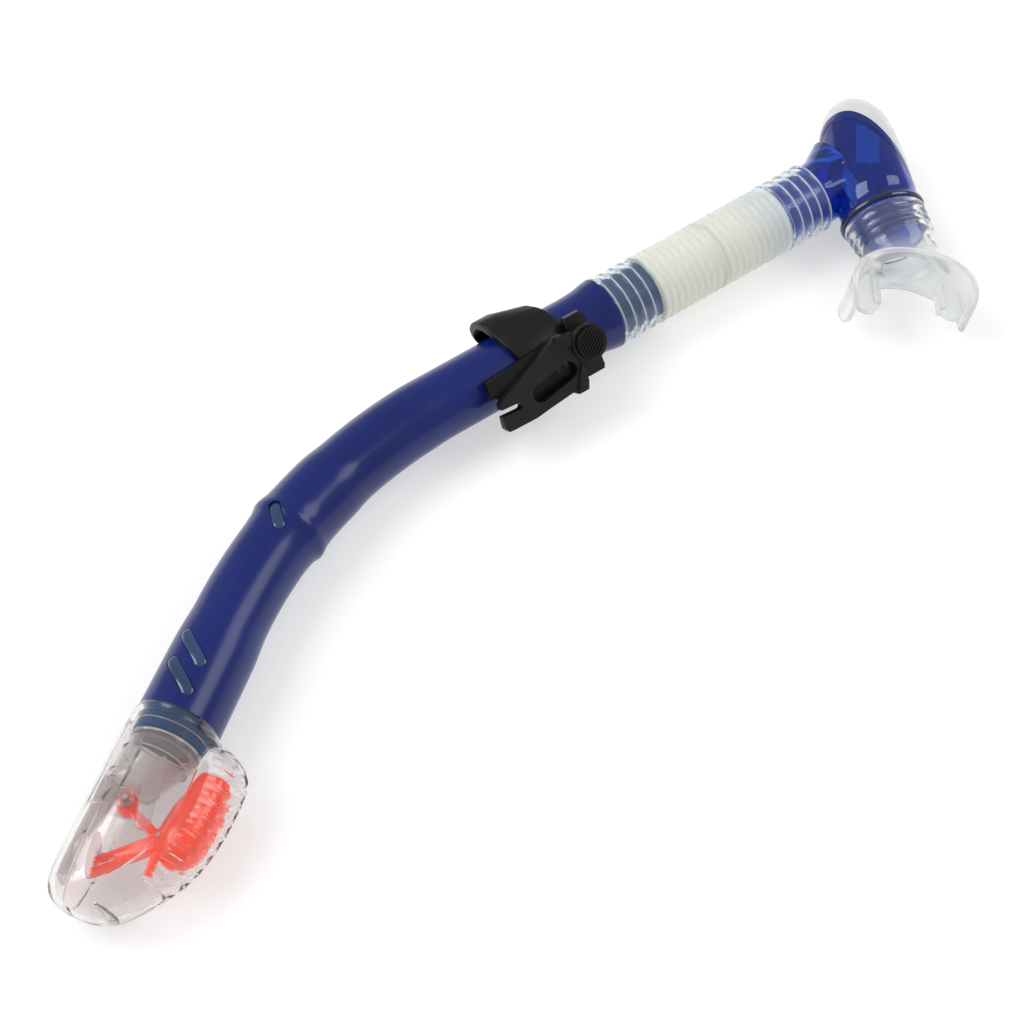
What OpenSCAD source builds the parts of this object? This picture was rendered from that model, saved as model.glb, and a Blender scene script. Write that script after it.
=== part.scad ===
// Snorkel with a float-operated top, a flexible hose and a purge chamber.
// It lies on its side: +X runs along the hose towards the mouthpiece, +Y is the outside of the bend.

/* [Main tube] */
// Outside diameter of the straight length that the keeper grips
tube_od = 26; // [25:0.5:27]
// Bore of the tube
tube_bore = 21; // [19:0.5:21]
// Outside diameter at the top end
tube_end_od = 30.5; // [29:0.5:31]
// Straight length from the hose to the bend
straight_len = 76; // [72:1:84]
// Radius of the bend, to the tube's centre
bend_radius = 195; // [170:5:230]
// Angle of the bend
bend_angle = 35; // [28:1:40]
// Straight length from the bend to the dry top
tail_len = 45; // [40:1:52]

/* [Hose] */
// Length of the hose with its two cuffs
hose_len = 103; // [98:1:112]
// Outside diameter over the cuffs
hose_od = 28.6; // [28:0.2:29]
// Number of ribs in the flexible length
hose_ribs = 20; // [14:1:22]
// Length of each plain cuff
cuff_len = 20; // [18:1:21]

/* [Dry top] */
// Length of the dry top beyond the tube
top_len = 74.5; // [74:0.5:76]
// Wall of the dry top's shells
top_wall = 1.8; // [1.6:0.1:2]
// Number of water slots in the grille
grille_slots = 8; // [6:1:8]
// Angle that the rocker turns to press its flap on the port
close_angle = 9; // [8:0.5:9]

/* [Keeper] */
// Radial play between the clip and the tube
keeper_play = 0.06; // [0.04:0.01:0.09]
// Length of the clip along the tube
clip_len = 23; // [20:0.5:24]
// Length of the strap slot
strap_slot_len = 21; // [16:1:21]
// Width of the strap slot
strap_slot_w = 7; // [5:0.2:7.4]
// Angle of the strap plate to the tube, at rest
plate_angle = 10; // [0:1:14]

/* [Purge chamber] */
// Angle of the mouthpiece outlet back from square to the hose
outlet_lean = 20; // [17:0.5:22]
// Wall of the chamber
chamber_wall = 2; // [1.8:0.1:2.2]
// Diameter of the purge valve's disc
valve_d = 20; // [18:1:21]

/* [Mouthpiece] */
// Half of the shield's width
shield_half_w = 22.5; // [21.5:0.5:24]
// Half of the shield's height
shield_half_h = 14.5; // [13:0.5:15]
// Thickness of the silicone
silicone = 2.2; // [1.8:0.1:2.6]

/* [Hidden] */
$fn = 64;

fit = 0.1;                      // gap between pieces that are glued or pushed together
over = 1;                       // how far a cutter runs past the face that it cuts

// Resting height of the centreline, and the middle of the outline seen from above
rest_z = 17;
box_mid = [-81.57, -41.54];

// Main tube
cuff_x = -12;                                  // the hose's end, on the tube's shoulder
bend_x = cuff_x - straight_len;                // start of the bend
flare_x = cuff_x - 14;                         // start of the flare at the hose
flare_r = 14.5;
hose_spigot_r = 11.5;
hose_spigot_len = 26;
bore_r = tube_bore / 2;
end_r = tube_end_od / 2;
top_spigot_r = 13.3;
top_spigot_len = 9;
// Windows on the tail: [distance back from the top end, angle from the top round to the outside]
tail_windows = [[11.6, 12], [23.3, 14]];
bend_window_at = [23, 22];      // [angle along the bend, angle round to the outside]
tail_start_r = 13.7;
tail_swell = 15;                // where the tail's taper slackens...
tail_swell_r = 14.85;           // ...and its radius there
// Outside radius round the bend: [angle, radius]
bend_profile = [[0, 13.3], [13, 13.3], [16.5, 14.1], [20.5, 14.1], [22.5, 15], [24.5, 15],
    [27, 13.9], [bend_angle, 13.9]];
window_len = 18.5;
window_w = 4.4;
window_slant = 48;              // angle of each window to the tube's axis
window_r = [13.1, 14.3];        // inner and outer radius of the windows on the tail
bend_window_r = [13.1, 14.5];

// Hose
hose_bore_r = hose_spigot_r + fit;
hose_end_x = cuff_x + hose_len;
rib_pitch = (hose_len - 2 * cuff_len) / hose_ribs;
valley_r = hose_od / 2 - 1.4;
hose_throat_r = 10.6;           // bore between the ends of the two spigots

// Dry top, measured from the tube's end: u outward, v towards the inside of the bend.
// Each section is [u, lowest v, highest v, half thickness, v where it is thickest].
top_sections = [[0, -15.4, 15.4, 15.4, 0], [3, -16, 18, 15.9, 0], [6, -16.2, 25.2, 16.4, 0],
    [10, -16.3, 30.4, 16.8, 0], [16, -16.3, 32.6, 17, 0], [25, -16.3, 32.8, 17, 0],
    [34, -16.3, 32.2, 17, 0], [45, -16.3, 30.2, 16.5, 0], [54, -16.3, 26.6, 15.8, 0],
    [62, -16.3, 21.2, 14.4, 0], [68, -15.2, 15.4, 12.2, 0], [72, -12.4, 10.4, 9.4, 0],
    [top_len, -8, 4.8, 5.4, 0]];
back_seam_v = -6.5;             // seam of the back cover near the nose
back_seam_step_u = 41;
back_strip_v = -12.5;           // the same seam nearer to the tube
back_start_u = 8;
grille_v = 17;                  // the grille is the belly outside this line
grille_u = [12, 61];
slot_w = 3;
slot_half_z = 9.5;

// Air duct, in the same kind of sections
duct_wall = 1;
duct_sections = [[11, -12.6, 12.6, 12.6, 0], [15, -13, 9.5, 12.4, -1], [24, -13.8, 0, 12, -6],
    [29, -13.9, -9, 8.6, -11.4], [40, -13.9, -10, 7.9, -12], [62, -13.9, -10, 6.4, -12],
    [66, -13.2, -10.6, 5, -12]];

// Float mechanism
pivot = [33.5, -3.2];           // eyelet of the rocker
hub = [42, 13];                 // where the arms and the float meet
paddle_end = [56.5, -3.2];
pin_r = 1;
float_pin_r = 1.08;
flap = [54, -5.6];
flap_r = 8;
flap_t = 1.6;
seat_v = -9.8;                  // top of the port's rim
port_u = 53.4;
port_r = 5.6;
float_tip = [50, 19];
float_axis_angle = 176;         // direction from the tip to the flat end
float_len = 34.5;
float_r = 9;
float_nose = 12;                // length of the rounded nose
float_end_r = 6;

// Keeper: everything is laid out with the tube's axis as X and the strap plate facing +Z
keeper_turn = 48;               // how far the plate is turned from the top of the tube
clip_x = -60;
clip_slant = 7;                 // how much shorter the ring is at the rail than at its lip
clip_r = 15.8;
lip_r = 21;
post_x = -32;
rail_x = -74;                   // far end of the rail along the tube
rail_half_w = 4.5;
rail_foot_z = 13.4;
// Outline of the flange under the strap plate
flange_outline = [[rail_x, 3.6], [rail_x, -1.6], [-70.8, -5.2], [-64, -9.5], [-56, -12.5],
    [-36.2, -13.6], [-27.5, -13.6], [-27.5, 5.2], [-43.5, 6.1], [-67.4, 4.2]];
bar_low = 13.6;                 // reach of the cross bar to each side
bar_high = 11;
bar_z = 15.2;                   // underside of the cross bar, clear of the flare
bar_t = 3;
plate_z = 18.4;
plate_t = 4.2;
post_r = 2.4;
hub_r = 7.2;
button_r = 5.9;
button_z = 23.2;
button_t = 2.6;
button_travel = 1.2;
plate_len = 45.2;
plate_drop = 4.2;               // how far the strap slot lies below the plate's pivot
// Outline of the plate from its pivot out to the tip and back along the lower edge
plate_outline = [[0, 7], [-4.9, 6.8], [-8, 9.4], [-10.6, 9.9], [-12.5, 9], [-22.6, 6.5], [-40.2, 3.2],
    [-42, 2.2], [-plate_len, -6.4], [-plate_len + 0.6, -8.2], [-42.8, -8.7], [-32.8, -10.8],
    [-26.4, -11.2], [-15.5, -12.2], [-13.7, -14.3], [-9.6, -15], [-7.4, -11.8], [-6.5, -3]];
tip_slot = [-36.2, -2.6];       // inner end of the open slot at the tip
tip_slot_w = 2.6;
tip_slot_turn = -14;

// Purge chamber, measured from the middle of its outlet: x across, y up the barrel
outlet = [107, -25.5];
// Each section is [y, half width, half thickness, how far it drifts towards +X]
chamber_sections = [[1.2, 16.2, 14.2, 0], [3.4, 16.2, 14.2, 0],
    [10, 16.3, 15.6, 0.5], [22, 16.3, 16.8, 1.5], [34, 16, 17, 2.5], [44, 15, 16.2, 3.2],
    [51, 12.6, 13.6, 3.6], [56.8, 8.8, 9.4, 3.9], [60.2, 3.6, 4, 4]];
seam_point = [5.2, 22, 0];      // a point on the plane between the chamber and its cover
seam_turn = 35.5;               // the seam plane's normal, round from the barrel's +X...
seam_dip = 30.6;                // ...and how far it points down
cover_low_y = 4.2;              // the cover stops short of the outlet's bead
stub_r = 12.6;
baffle = [1.2, 11, 12.6];       // thin plate across the way to the valve
baffle_at = [-6.4, 14, -6.3];
baffle_turn = 12;

// Mouthpiece, measured from the outlet: y is negative towards the mouth
shield_mid_y = -43;             // middle of the oval that the shield follows, seen from above
shield_depth = 16;
shield_wrap = 112;              // how far round that oval each wing reaches
mouth_lean = 3.5;               // the stub's angle to the barrel
neck_y = -18;                   // where the soft neck bends...
mouth_turn = -18;               // ...its bend, and its twist as it lies
mouth_twist = 8;
bite_tab = [9, 19, 3];          // a bite tab's width, length and thickness
bite_tab_x = 12;                // inner edge of each tab

// ---------- frames ----------

module place() {
    translate([-box_mid[0], -box_mid[1], rest_z]) children();
}

// Origin on the tube's centreline at the end of the bend; the tube runs on along -X
module tail_frame() {
    translate([bend_x, -bend_radius, 0]) rotate([0, 0, bend_angle])
        translate([0, bend_radius, 0]) children();
}

// Origin at the tube's top end; X is u (outward) and Y is v
module top_frame() {
    place() tail_frame() translate([-tail_len, 0, 0]) rotate([0, 0, 180]) children();
}

module keeper_frame() {
    place() rotate([keeper_turn, 0, 0]) children();
}

module plate_frame() {
    keeper_frame() translate([post_x, 0, 0]) rotate([0, 0, plate_angle]) children();
}

module chamber_frame() {
    place() translate([outlet[0], outlet[1], 0]) rotate([0, 0, -outlet_lean]) children();
}

// Z runs out through the purge valve, and Y lies along the seam's long side
module purge_frame() {
    translate(seam_point) rotate([0, 90 + seam_dip, seam_turn]) children();
}

// ---------- shared shapes ----------

// Cylinder along +X
module rod(x, length, r) {
    translate([x, 0, 0]) rotate([0, 90, 0]) cylinder(h = length, r = r);
}

module taper(x, length, r1, r2) {
    translate([x, 0, 0]) rotate([0, 90, 0]) cylinder(h = length, r1 = r1, r2 = r2);
}

// Side and end faces of a closed solid whose rings each have m points
function skin_faces(rings, m) = concat(
    [[for (j = [0 : m - 1]) j]],
    [for (i = [0 : rings - 2], j = [0 : m - 1], half = [0, 1])
        let (a = i * m + j, b = (i + 1) * m + j, c = (i + 1) * m + (j + 1) % m, d = i * m + (j + 1) % m)
        half == 0 ? [a, b, c] : [a, c, d]],
    [[for (j = [m - 1 : -1 : 0]) (rings - 1) * m + j]]);

// Solid through oval sections [u, lowest v, highest v, half thickness, v where it is thickest],
// shrunk by inset
module oval_loft(sections, inset, m) {
    points = [for (s = sections, j = [0 : m - 1])
        let (c = cos(360 * j / m), half = (c > 0 ? s[2] - s[4] : s[4] - s[1]) - inset)
        [s[0], s[4] + half * c, (s[3] - inset) * sin(360 * j / m)]];
    polyhedron(points, skin_faces(len(sections), m));
}

// Flat bar between two points of the XY plane
module flat_bar(from, to, width, thickness) {
    run = to - from;
    translate([from[0], from[1], 0]) rotate([0, 0, atan2(run[1], run[0])])
        translate([0, -thickness / 2, -width / 2]) cube([norm(run), thickness, width]);
}

// ---------- main tube ----------

// A length of the bend, from one angle to another
module bend_ring(from, to, r) {
    translate([bend_x, -bend_radius, 0]) rotate([0, 0, 90 + from])
        rotate_extrude(angle = to - from, $fn = 180) translate([bend_radius, 0]) circle(r = r, $fn = 64);
}

// Outside of the bend, its radius following bend_profile
module bend_skin() {
    steps = 20;
    m = 64;
    points = [for (i = [0 : steps], j = [0 : m - 1])
        let (a = bend_angle * i / steps, r = lookup(a, bend_profile),
             out = bend_radius + r * cos(360 * j / m))
        [bend_x - out * sin(a), out * cos(a) - bend_radius, -r * sin(360 * j / m)]];
    polyhedron(points, skin_faces(steps + 1, m));
}

module tube_outside() {
    rod(bend_x - over, flare_x - bend_x + over, tube_od / 2);
    taper(flare_x, cuff_x - flare_x, tube_od / 2, flare_r);
    rod(cuff_x, hose_spigot_len, hose_spigot_r);
    for (x = [5, 12, 19]) taper(cuff_x + x, 1.6, hose_spigot_r + 0.05, hose_spigot_r - 0.4);
    bend_skin();
    tail_frame() {
        translate([over, 0, 0]) rotate([0, -90, 0])
            cylinder(h = tail_swell + over, r1 = tail_start_r, r2 = tail_swell_r);
        translate([-tail_swell, 0, 0]) rotate([0, -90, 0])
            cylinder(h = tail_len - tail_swell, r1 = tail_swell_r, r2 = end_r);
        translate([-tail_len, 0, 0]) rotate([0, -90, 0]) cylinder(h = top_spigot_len, r = top_spigot_r);
    }
}

// The straight bores are a hair wider than the bend's, and lap over its ends
module tube_inside() {
    lap_r = bore_r + 0.05;
    rod(bend_x - over, straight_len + hose_spigot_len + 2 * over, lap_r);
    bend_ring(0, bend_angle, bore_r);
    tail_frame() translate([over, 0, 0]) rotate([0, -90, 0])
        cylinder(h = tail_len + top_spigot_len + 2 * over, r = lap_r);
}

module main_tube() {
    color("mediumblue") place() difference() {
        tube_outside();
        tube_inside();
        window_pieces(fit, over);
        o_ring_groove();
    }
}

// Round-ended bar that a window is cut from, standing on the tube's axis
module window_bar(grow) {
    half = (window_len - window_w) / 2;
    for (x = [-half, half]) translate([x, 0, 0]) cylinder(h = 20, r = window_w / 2 + grow);
    translate([-half, -window_w / 2 - grow, 0]) cube([2 * half, window_w + 2 * grow, 20]);
}

// The three windows, grown sideways by grow and outward by proud
module window_pieces(grow, proud) {
    for (w = tail_windows) intersection() {
        tail_frame() translate([w[0] - tail_len, 0, 0]) rotate([-w[1], 0, 0])
            rotate([0, 0, window_slant]) window_bar(grow);
        tail_frame() rotate([0, -90, 0]) difference() {
            cylinder(h = tail_len, r = window_r[1] + proud);
            translate([0, 0, -over]) cylinder(h = tail_len + 2 * over, r = window_r[0]);
        }
    }
    intersection() {
        translate([bend_x, -bend_radius, 0]) rotate([0, 0, bend_window_at[0]])
            translate([0, bend_radius, 0]) rotate([-bend_window_at[1], 0, 0])
            rotate([0, 0, window_slant]) window_bar(grow);
        difference() {
            bend_ring(18, 28, bend_window_r[1] + proud);
            bend_ring(17, 29, bend_window_r[0]);
        }
    }
}

module tube_windows() {
    color("cadetblue") place() window_pieces(0, 0);
}

module o_ring_groove() {
    tail_frame() translate([-tail_len - 4.2, 0, 0]) rotate([0, -90, 0]) difference() {
        cylinder(h = 2, r = top_spigot_r + over);
        translate([0, 0, -over]) cylinder(h = 2 + 2 * over, r = top_spigot_r - 1.2);
    }
}

module spigot_o_ring() {
    color("black") top_frame() translate([5.2, 0, 0]) rotate([0, 90, 0])
        rotate_extrude() translate([top_spigot_r - 0.55, 0]) circle(r = 0.6, $fn = 24);
}

// ---------- dry top ----------

module top_solid() {
    oval_loft(top_sections, 0, 32);
}

module top_cavity() {
    oval_loft([for (s = top_sections) if (s[0] > 0 && s[0] < top_len) s], top_wall, 32);
    rod(-over, 6, top_spigot_r + fit);
}

module back_region(grow) {
    translate([back_start_u - grow, -30, -30]) cube([100, 30 + back_strip_v + grow, 60]);
    translate([back_seam_step_u - grow, -30, -30]) cube([100, 30 + back_seam_v + grow, 60]);
}

module grille_region(grow) {
    translate([grille_u[0] - grow, grille_v - grow, -30])
        cube([grille_u[1] - grille_u[0] + 2 * grow, 40, 60]);
}

module dry_top_shell() {
    color("gainsboro") top_frame() difference() {
        top_solid();
        top_cavity();
        back_region(fit / 2);
        grille_region(fit / 2);
    }
}

module dry_top_back() {
    color("lightgray") top_frame() intersection() {
        difference() {
            top_solid();
            top_cavity();
        }
        back_region(-fit / 2);
    }
}

module dry_top_grille() {
    pitch = (grille_u[1] - grille_u[0] - 6) / grille_slots;
    color("whitesmoke") top_frame() difference() {
        intersection() {
            difference() {
                top_solid();
                top_cavity();
            }
            grille_region(-fit / 2);
        }
        for (i = [0 : grille_slots - 1])
            translate([grille_u[0] + 4 + i * pitch, grille_v + 3, -slot_half_z])
                cube([slot_w, 30, 2 * slot_half_z]);
    }
}

module air_duct() {
    color("aliceblue") top_frame() difference() {
        union() {
            rod(-6, 17.5, bore_r - fit);
            rod(top_spigot_len + fit, 2, 12.8);
            oval_loft(duct_sections, 0, 28);
            translate([port_u, seat_v, 0]) rotate([90, 0, 0]) cylinder(h = 1.4, r = port_r + 1.8);
            // ears that hold the rocker's pin
            for (side = [-1, 1]) translate([pivot[0], pivot[1], side * 5.4 - 0.9]) {
                cylinder(h = 1.8, r = 3);
                translate([-3, -7.4, 0]) cube([6, 7.4, 1.8]);
            }
        }
        rod(-6 - over, 20, bore_r - 1.4);
        oval_loft([for (s = duct_sections) if (s[0] < 66) s], duct_wall, 28);
        translate([port_u, seat_v + over, 0]) rotate([90, 0, 0]) cylinder(h = 3, r = port_r);
        translate([pivot[0], pivot[1], -8]) cylinder(h = 16, r = pin_r + 0.05);
    }
}

// ---------- float mechanism ----------

module eyelet_pin() {
    color("silver") top_frame() translate([pivot[0], pivot[1], -6.6]) cylinder(h = 13.2, r = pin_r);
}

module float_rocker() {
    color("orangered") top_frame() difference() {
        union() {
            translate([pivot[0], pivot[1], -2.5]) cylinder(h = 5, r = 3.1);
            flat_bar(pivot, hub, 3.6, 2.4);
            translate([hub[0], hub[1], -3]) cylinder(h = 6, r = 3);
            flat_bar(hub, paddle_end, 6.4, 2);
            flat_bar(hub, hub + [9.5, 2.5], 2.6, 2.2);
        }
        translate([pivot[0], pivot[1], -over - 3]) cylinder(h = 8, r = pin_r + 0.06);
        translate([hub[0], hub[1], -over - 3]) cylinder(h = 8, r = float_pin_r + 0.02);
        // slot that the flap's stem is pushed through
        translate([51.4, -7, -1.5]) cube([4, 13, 3]);
    }
}

module float_pin() {
    color("silver") top_frame() translate([hub[0], hub[1], -5.6]) cylinder(h = 11.2, r = float_pin_r);
}

// Radius of the float at a distance along it from its tip
function float_radius(s) = s < float_nose
    ? 1.6 + (float_r - 1.6) * sin(90 * s / float_nose)
    : float_r - (float_r - float_end_r) * pow((s - float_nose) / (float_len - float_nose), 2);

module float() {
    steps = 14;
    color("tomato") top_frame() difference() {
        union() {
            translate([float_tip[0], float_tip[1], 0]) rotate([0, 0, float_axis_angle])
                rotate([0, 90, 0]) rotate_extrude() polygon(concat(
                    [[0, 0]],
                    [for (i = [0 : steps]) let (s = i * float_len / steps) [float_radius(s), s]],
                    [[0, float_len]]));
            // ears that straddle the hub
            for (side = [-1, 1]) translate([hub[0], hub[1], side * 4.3 - 0.9]) {
                cylinder(h = 1.8, r = 2.6);
                translate([-3, 0, 0]) cube([5.6, 6, 1.8]);
            }
        }
        // clearance round the hub, and the hole for its pin
        translate([hub[0], hub[1], -3.3]) cylinder(h = 6.6, r = 3.4);
        translate([hub[0] - 2, hub[1] - 3, -3.3]) cube([14, 6.6, 6.6]);
        translate([hub[0], hub[1], -8]) cylinder(h = 16, r = float_pin_r + 0.02);
        // hollow, open at its flat end
        translate([float_tip[0], float_tip[1], 0]) rotate([0, 0, float_axis_angle])
            rod(16, float_len - 16 + over, float_end_r - 1.4);
    }
}

module seal_flap() {
    color("white") top_frame() translate([flap[0], flap[1], 0]) rotate([0, 0, close_angle])
        rotate([-90, 0, 0]) {
            translate([0, 0, -flap_t / 2]) cylinder(h = flap_t, r = flap_r);
            translate([0, 0, flap_t / 2]) cylinder(h = 4.2, r = 1.3);
        }
}

// ---------- keeper ----------

module keeper_clip() {
    arc_from = 105;
    arc = 250;
    inner_r = tube_od / 2 + keeper_play;
    color("dimgray") {
        place() {
            // the part ring round the tube, its end slanted
            difference() {
                translate([clip_x, 0, 0]) rotate([0, 90, 0]) rotate([0, 0, arc_from])
                    rotate_extrude(angle = arc) translate([inner_r, 0])
                        square([clip_r - inner_r, clip_len]);
                translate([clip_x, clip_r, 0]) rotate([0, 0, atan2(clip_slant, 2 * clip_r)])
                    translate([-40, -60, -30]) cube([40, 60, 60]);
            }
            // the lip that is lifted to snap the clip off
            translate([clip_x, 0, 0]) rotate([arc_from - 180, 0, 0])
                translate([0, -0.5, clip_r - 1.5]) cube([clip_len, 3.4, lip_r - clip_r + 1.5]);
        }
        keeper_frame() difference() {
            union() {
                // rail along the tube, the flange on it, and the cross bar at its end
                translate([rail_x + over, -rail_half_w, rail_foot_z])
                    cube([post_x - rail_x, 2 * rail_half_w - 1, bar_z - rail_foot_z + 1]);
                translate([0, 0, bar_z]) linear_extrude(bar_t) polygon(flange_outline);
                translate([post_x - 4.5, -bar_low, bar_z]) cube([9, bar_low + bar_high, bar_t]);
                translate([post_x, 0, bar_z + bar_t - 0.5]) cylinder(h = 4.8, r = post_r);
            }
            rod(rail_x - over, clip_x + clip_len - rail_x, inner_r);
            translate([clip_x + clip_len - 1.5, -20, 0]) cube([60, 40, bar_z]);
        }
    }
}

module strap_plate() {
    slot_end = -8.8;            // the strap slot's end nearer to the pivot
    slot_mid = [-slot_end + strap_slot_w / 2, -slot_end + strap_slot_len - strap_slot_w / 2];
    color("darkslategray") plate_frame() difference() {
        union() {
            translate([0, 0, plate_z]) linear_extrude(plate_t) polygon(plate_outline);
            translate([0, 0, plate_z]) cylinder(h = 6.2, r = hub_r);
        }
        translate([0, 0, plate_z - over]) cylinder(h = 10, r = post_r + 0.05);
        translate([0, 0, plate_z + 1.5]) cylinder(h = 10, r = button_r + 0.15);
        translate([0, -plate_drop, plate_z - over]) {
            // strap slot, with round ends
            for (x = slot_mid) translate([-x, 0, 0]) cylinder(h = plate_t + 2 * over, d = strap_slot_w);
            translate([-slot_mid[1], -strap_slot_w / 2, 0])
                cube([slot_mid[1] - slot_mid[0], strap_slot_w, plate_t + 2 * over]);
        }
        // open slot at the tip
        translate([tip_slot[0], tip_slot[1], plate_z - over]) rotate([0, 0, tip_slot_turn]) {
            translate([-12, -tip_slot_w / 2, 0]) cube([12, tip_slot_w, plate_t + 2 * over]);
            cylinder(h = plate_t + 2 * over, d = tip_slot_w);
        }
    }
}

// Round wire wound round the post
module button_spring() {
    coil_r = 4;
    wire_r = 0.25;
    turns = 2.5;
    low = plate_z + 1.5 + wire_r + 0.05;
    high = button_z - wire_r - 0.05;
    rings = 60;
    m = 8;
    points = [for (i = [0 : rings], j = [0 : m - 1])
        let (a = 360 * turns * i / rings, z = low + (high - low) * i / rings,
             r = coil_r + wire_r * cos(360 * j / m))
        [r * cos(a), r * sin(a), z - wire_r * sin(360 * j / m)]];
    color("silver") plate_frame() polyhedron(points, skin_faces(rings + 1, m));
}

module release_button() {
    color("black") plate_frame() difference() {
        union() {
            translate([0, 0, button_z]) cylinder(h = button_t, r = button_r);
            for (y = [-4.2 : 1.4 : 4.2]) {
                half = sqrt(pow(button_r - 0.5, 2) - y * y);
                translate([-half, y - 0.35, button_z + button_t - 0.1]) cube([2 * half, 0.7, 0.7]);
            }
        }
        translate([0, 0, button_z - over]) cylinder(h = over + 1.6, r = post_r + 0.2);
    }
}

// ---------- hose ----------

module corrugated_hose() {
    // plain cuffs with shallow bands, and a rib for each pitch between them
    outline = concat(
        [[hose_bore_r, 0], [hose_od / 2 - 0.6, 0], [hose_od / 2, 0.8]],
        [for (k = [1 : 3]) each [[hose_od / 2, k * 5 - 1.2], [hose_od / 2 - 0.5, k * 5 - 0.4],
            [hose_od / 2 - 0.5, k * 5 + 0.4], [hose_od / 2, k * 5 + 1.2]]],
        [for (k = [0 : hose_ribs - 1]) let (x = cuff_len + k * rib_pitch)
            each [[valley_r, x + 0.25], [hose_od / 2 - 0.3, x + rib_pitch * 0.36],
                [hose_od / 2 - 0.3, x + rib_pitch * 0.64], [valley_r, x + rib_pitch - 0.25]]],
        [for (k = [3 : -1 : 1]) let (x = hose_len - k * 5)
            each [[hose_od / 2, x - 1.2], [hose_od / 2 - 0.5, x - 0.4],
                [hose_od / 2 - 0.5, x + 0.4], [hose_od / 2, x + 1.2]]],
        [[hose_od / 2, hose_len - 0.8], [hose_od / 2 - 0.6, hose_len], [hose_bore_r, hose_len],
         [hose_bore_r, hose_len - hose_spigot_len - 0.5], [hose_throat_r, hose_len - hose_spigot_len - 1.5],
         [hose_throat_r, hose_spigot_len + 1.5], [hose_bore_r, hose_spigot_len + 0.5]]);
    color("honeydew") place() translate([cuff_x, 0, 0]) rotate([0, 90, 0]) rotate_extrude()
        polygon(outline);
}

// ---------- purge chamber ----------

// Barrel through sections [y, half width, half thickness, drift], shrunk by inset
module barrel(sections, inset) {
    rotate([0, 0, 90]) mirror([0, 1, 0]) oval_loft(
        [for (s = sections) [s[0], s[3] - s[1], s[3] + s[1], s[2], s[3]]], inset, 32);
}

module chamber_solid() {
    barrel(chamber_sections, 0);
}

module chamber_cavity() {
    barrel([for (s = chamber_sections) if (s[0] > 3 && s[0] < 58) s], chamber_wall);
}

// Everything on the cover's side of the seam, moved out by a distance
module beyond_seam(out) {
    intersection() {
        purge_frame() translate([-60, -60, out]) cube([120, 120, 60]);
        translate([-60, cover_low_y + out, -60]) cube(120);
    }
}

// The hose's own axis, seen from the chamber
module hose_line() {
    rotate([0, 0, outlet_lean]) translate([-outlet[0], -outlet[1], 0]) children();
}

module purge_chamber() {
    color("blue") chamber_frame() difference() {
        union() {
            chamber_solid();
            outlet_stub(0);
            hose_line() {
                rod(hose_end_x, 18, stub_r);
                rod(hose_end_x - hose_spigot_len, hose_spigot_len + 1, hose_spigot_r);
            }
        }
        chamber_cavity();
        beyond_seam(-fit / 2);
        outlet_stub(2);
        hose_line() rod(hose_end_x - hose_spigot_len - over, hose_spigot_len + 18, hose_spigot_r - 2);
    }
}

// Oval stub that the mouthpiece is pushed on to, and the bead that it stops against
module outlet_stub(inset) {
    far = inset == 0 ? -12 : -12 - over;
    rotate([0, 0, mouth_lean]) {
        barrel([[far, 13.4, 10.4, 0], [4.5, 13.4, 10.4, 0]], inset);
        if (inset == 0) barrel([[0, 17.8, 14.5, 0], [2.6, 17.8, 14.5, 0]], 0);
    }
}

module purge_baffle() {
    color("royalblue") chamber_frame() translate(baffle_at) rotate([0, 0, baffle_turn]) cube(baffle);
}

module purge_seat() {
    color("steelblue") chamber_frame() difference() {
        intersection() {
            barrel([for (s = chamber_sections) if (s[0] > 3 && s[0] < 58) s], chamber_wall + fit);
            purge_frame() translate([-60, -60, -2.2]) cube([120, 120, 2]);
        }
        purge_frame() {
            for (a = [0 : 60 : 300]) rotate([0, 0, a]) translate([6.2, 0, -4]) cylinder(h = 8, r = 2.4);
            translate([0, 0, -4]) cylinder(h = 8, r = 1.6);
        }
    }
}

module purge_valve() {
    color("white") chamber_frame() purge_frame() {
        translate([0, 0, 0.1]) cylinder(h = 0.9, r = valve_d / 2);
        translate([0, 0, -3.4]) cylinder(h = 3.6, r = 1.5);
        translate([0, 0, -5.6]) cylinder(h = 2.3, r = 1.4);
    }
}

module purge_cover() {
    color("white") chamber_frame() difference() {
        intersection() {
            chamber_solid();
            beyond_seam(fit / 2);
        }
        intersection() {
            barrel([for (s = chamber_sections) if (s[0] > 3 && s[0] < 58) s], chamber_wall);
            purge_frame() translate([-60, -60, -1]) cube([120, 120, 60]);
        }
        // vents in the cover's underside
        purge_frame() for (y = [-15, -9, 9, 15]) translate([0, y - 1.5, 2.4]) cube([30, 3, 2]);
    }
}

// ---------- mouthpiece ----------

// Keeps the sign of v while raising its size to a power
function bulge(v, power) = abs(v) < 0.001 ? 0 : sign(v) * pow(abs(v), power);

// Point on the shield: its angle round the plan oval, its height, and how far it stands out
function on_shield(turn, height, lift) =
    let (nx = shield_depth * sin(turn), ny = shield_half_w * cos(turn), n = norm([nx, ny]))
    [shield_half_w * sin(turn) + lift * nx / n,
     shield_mid_y + shield_depth * cos(turn) + lift * ny / n, height];

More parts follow.
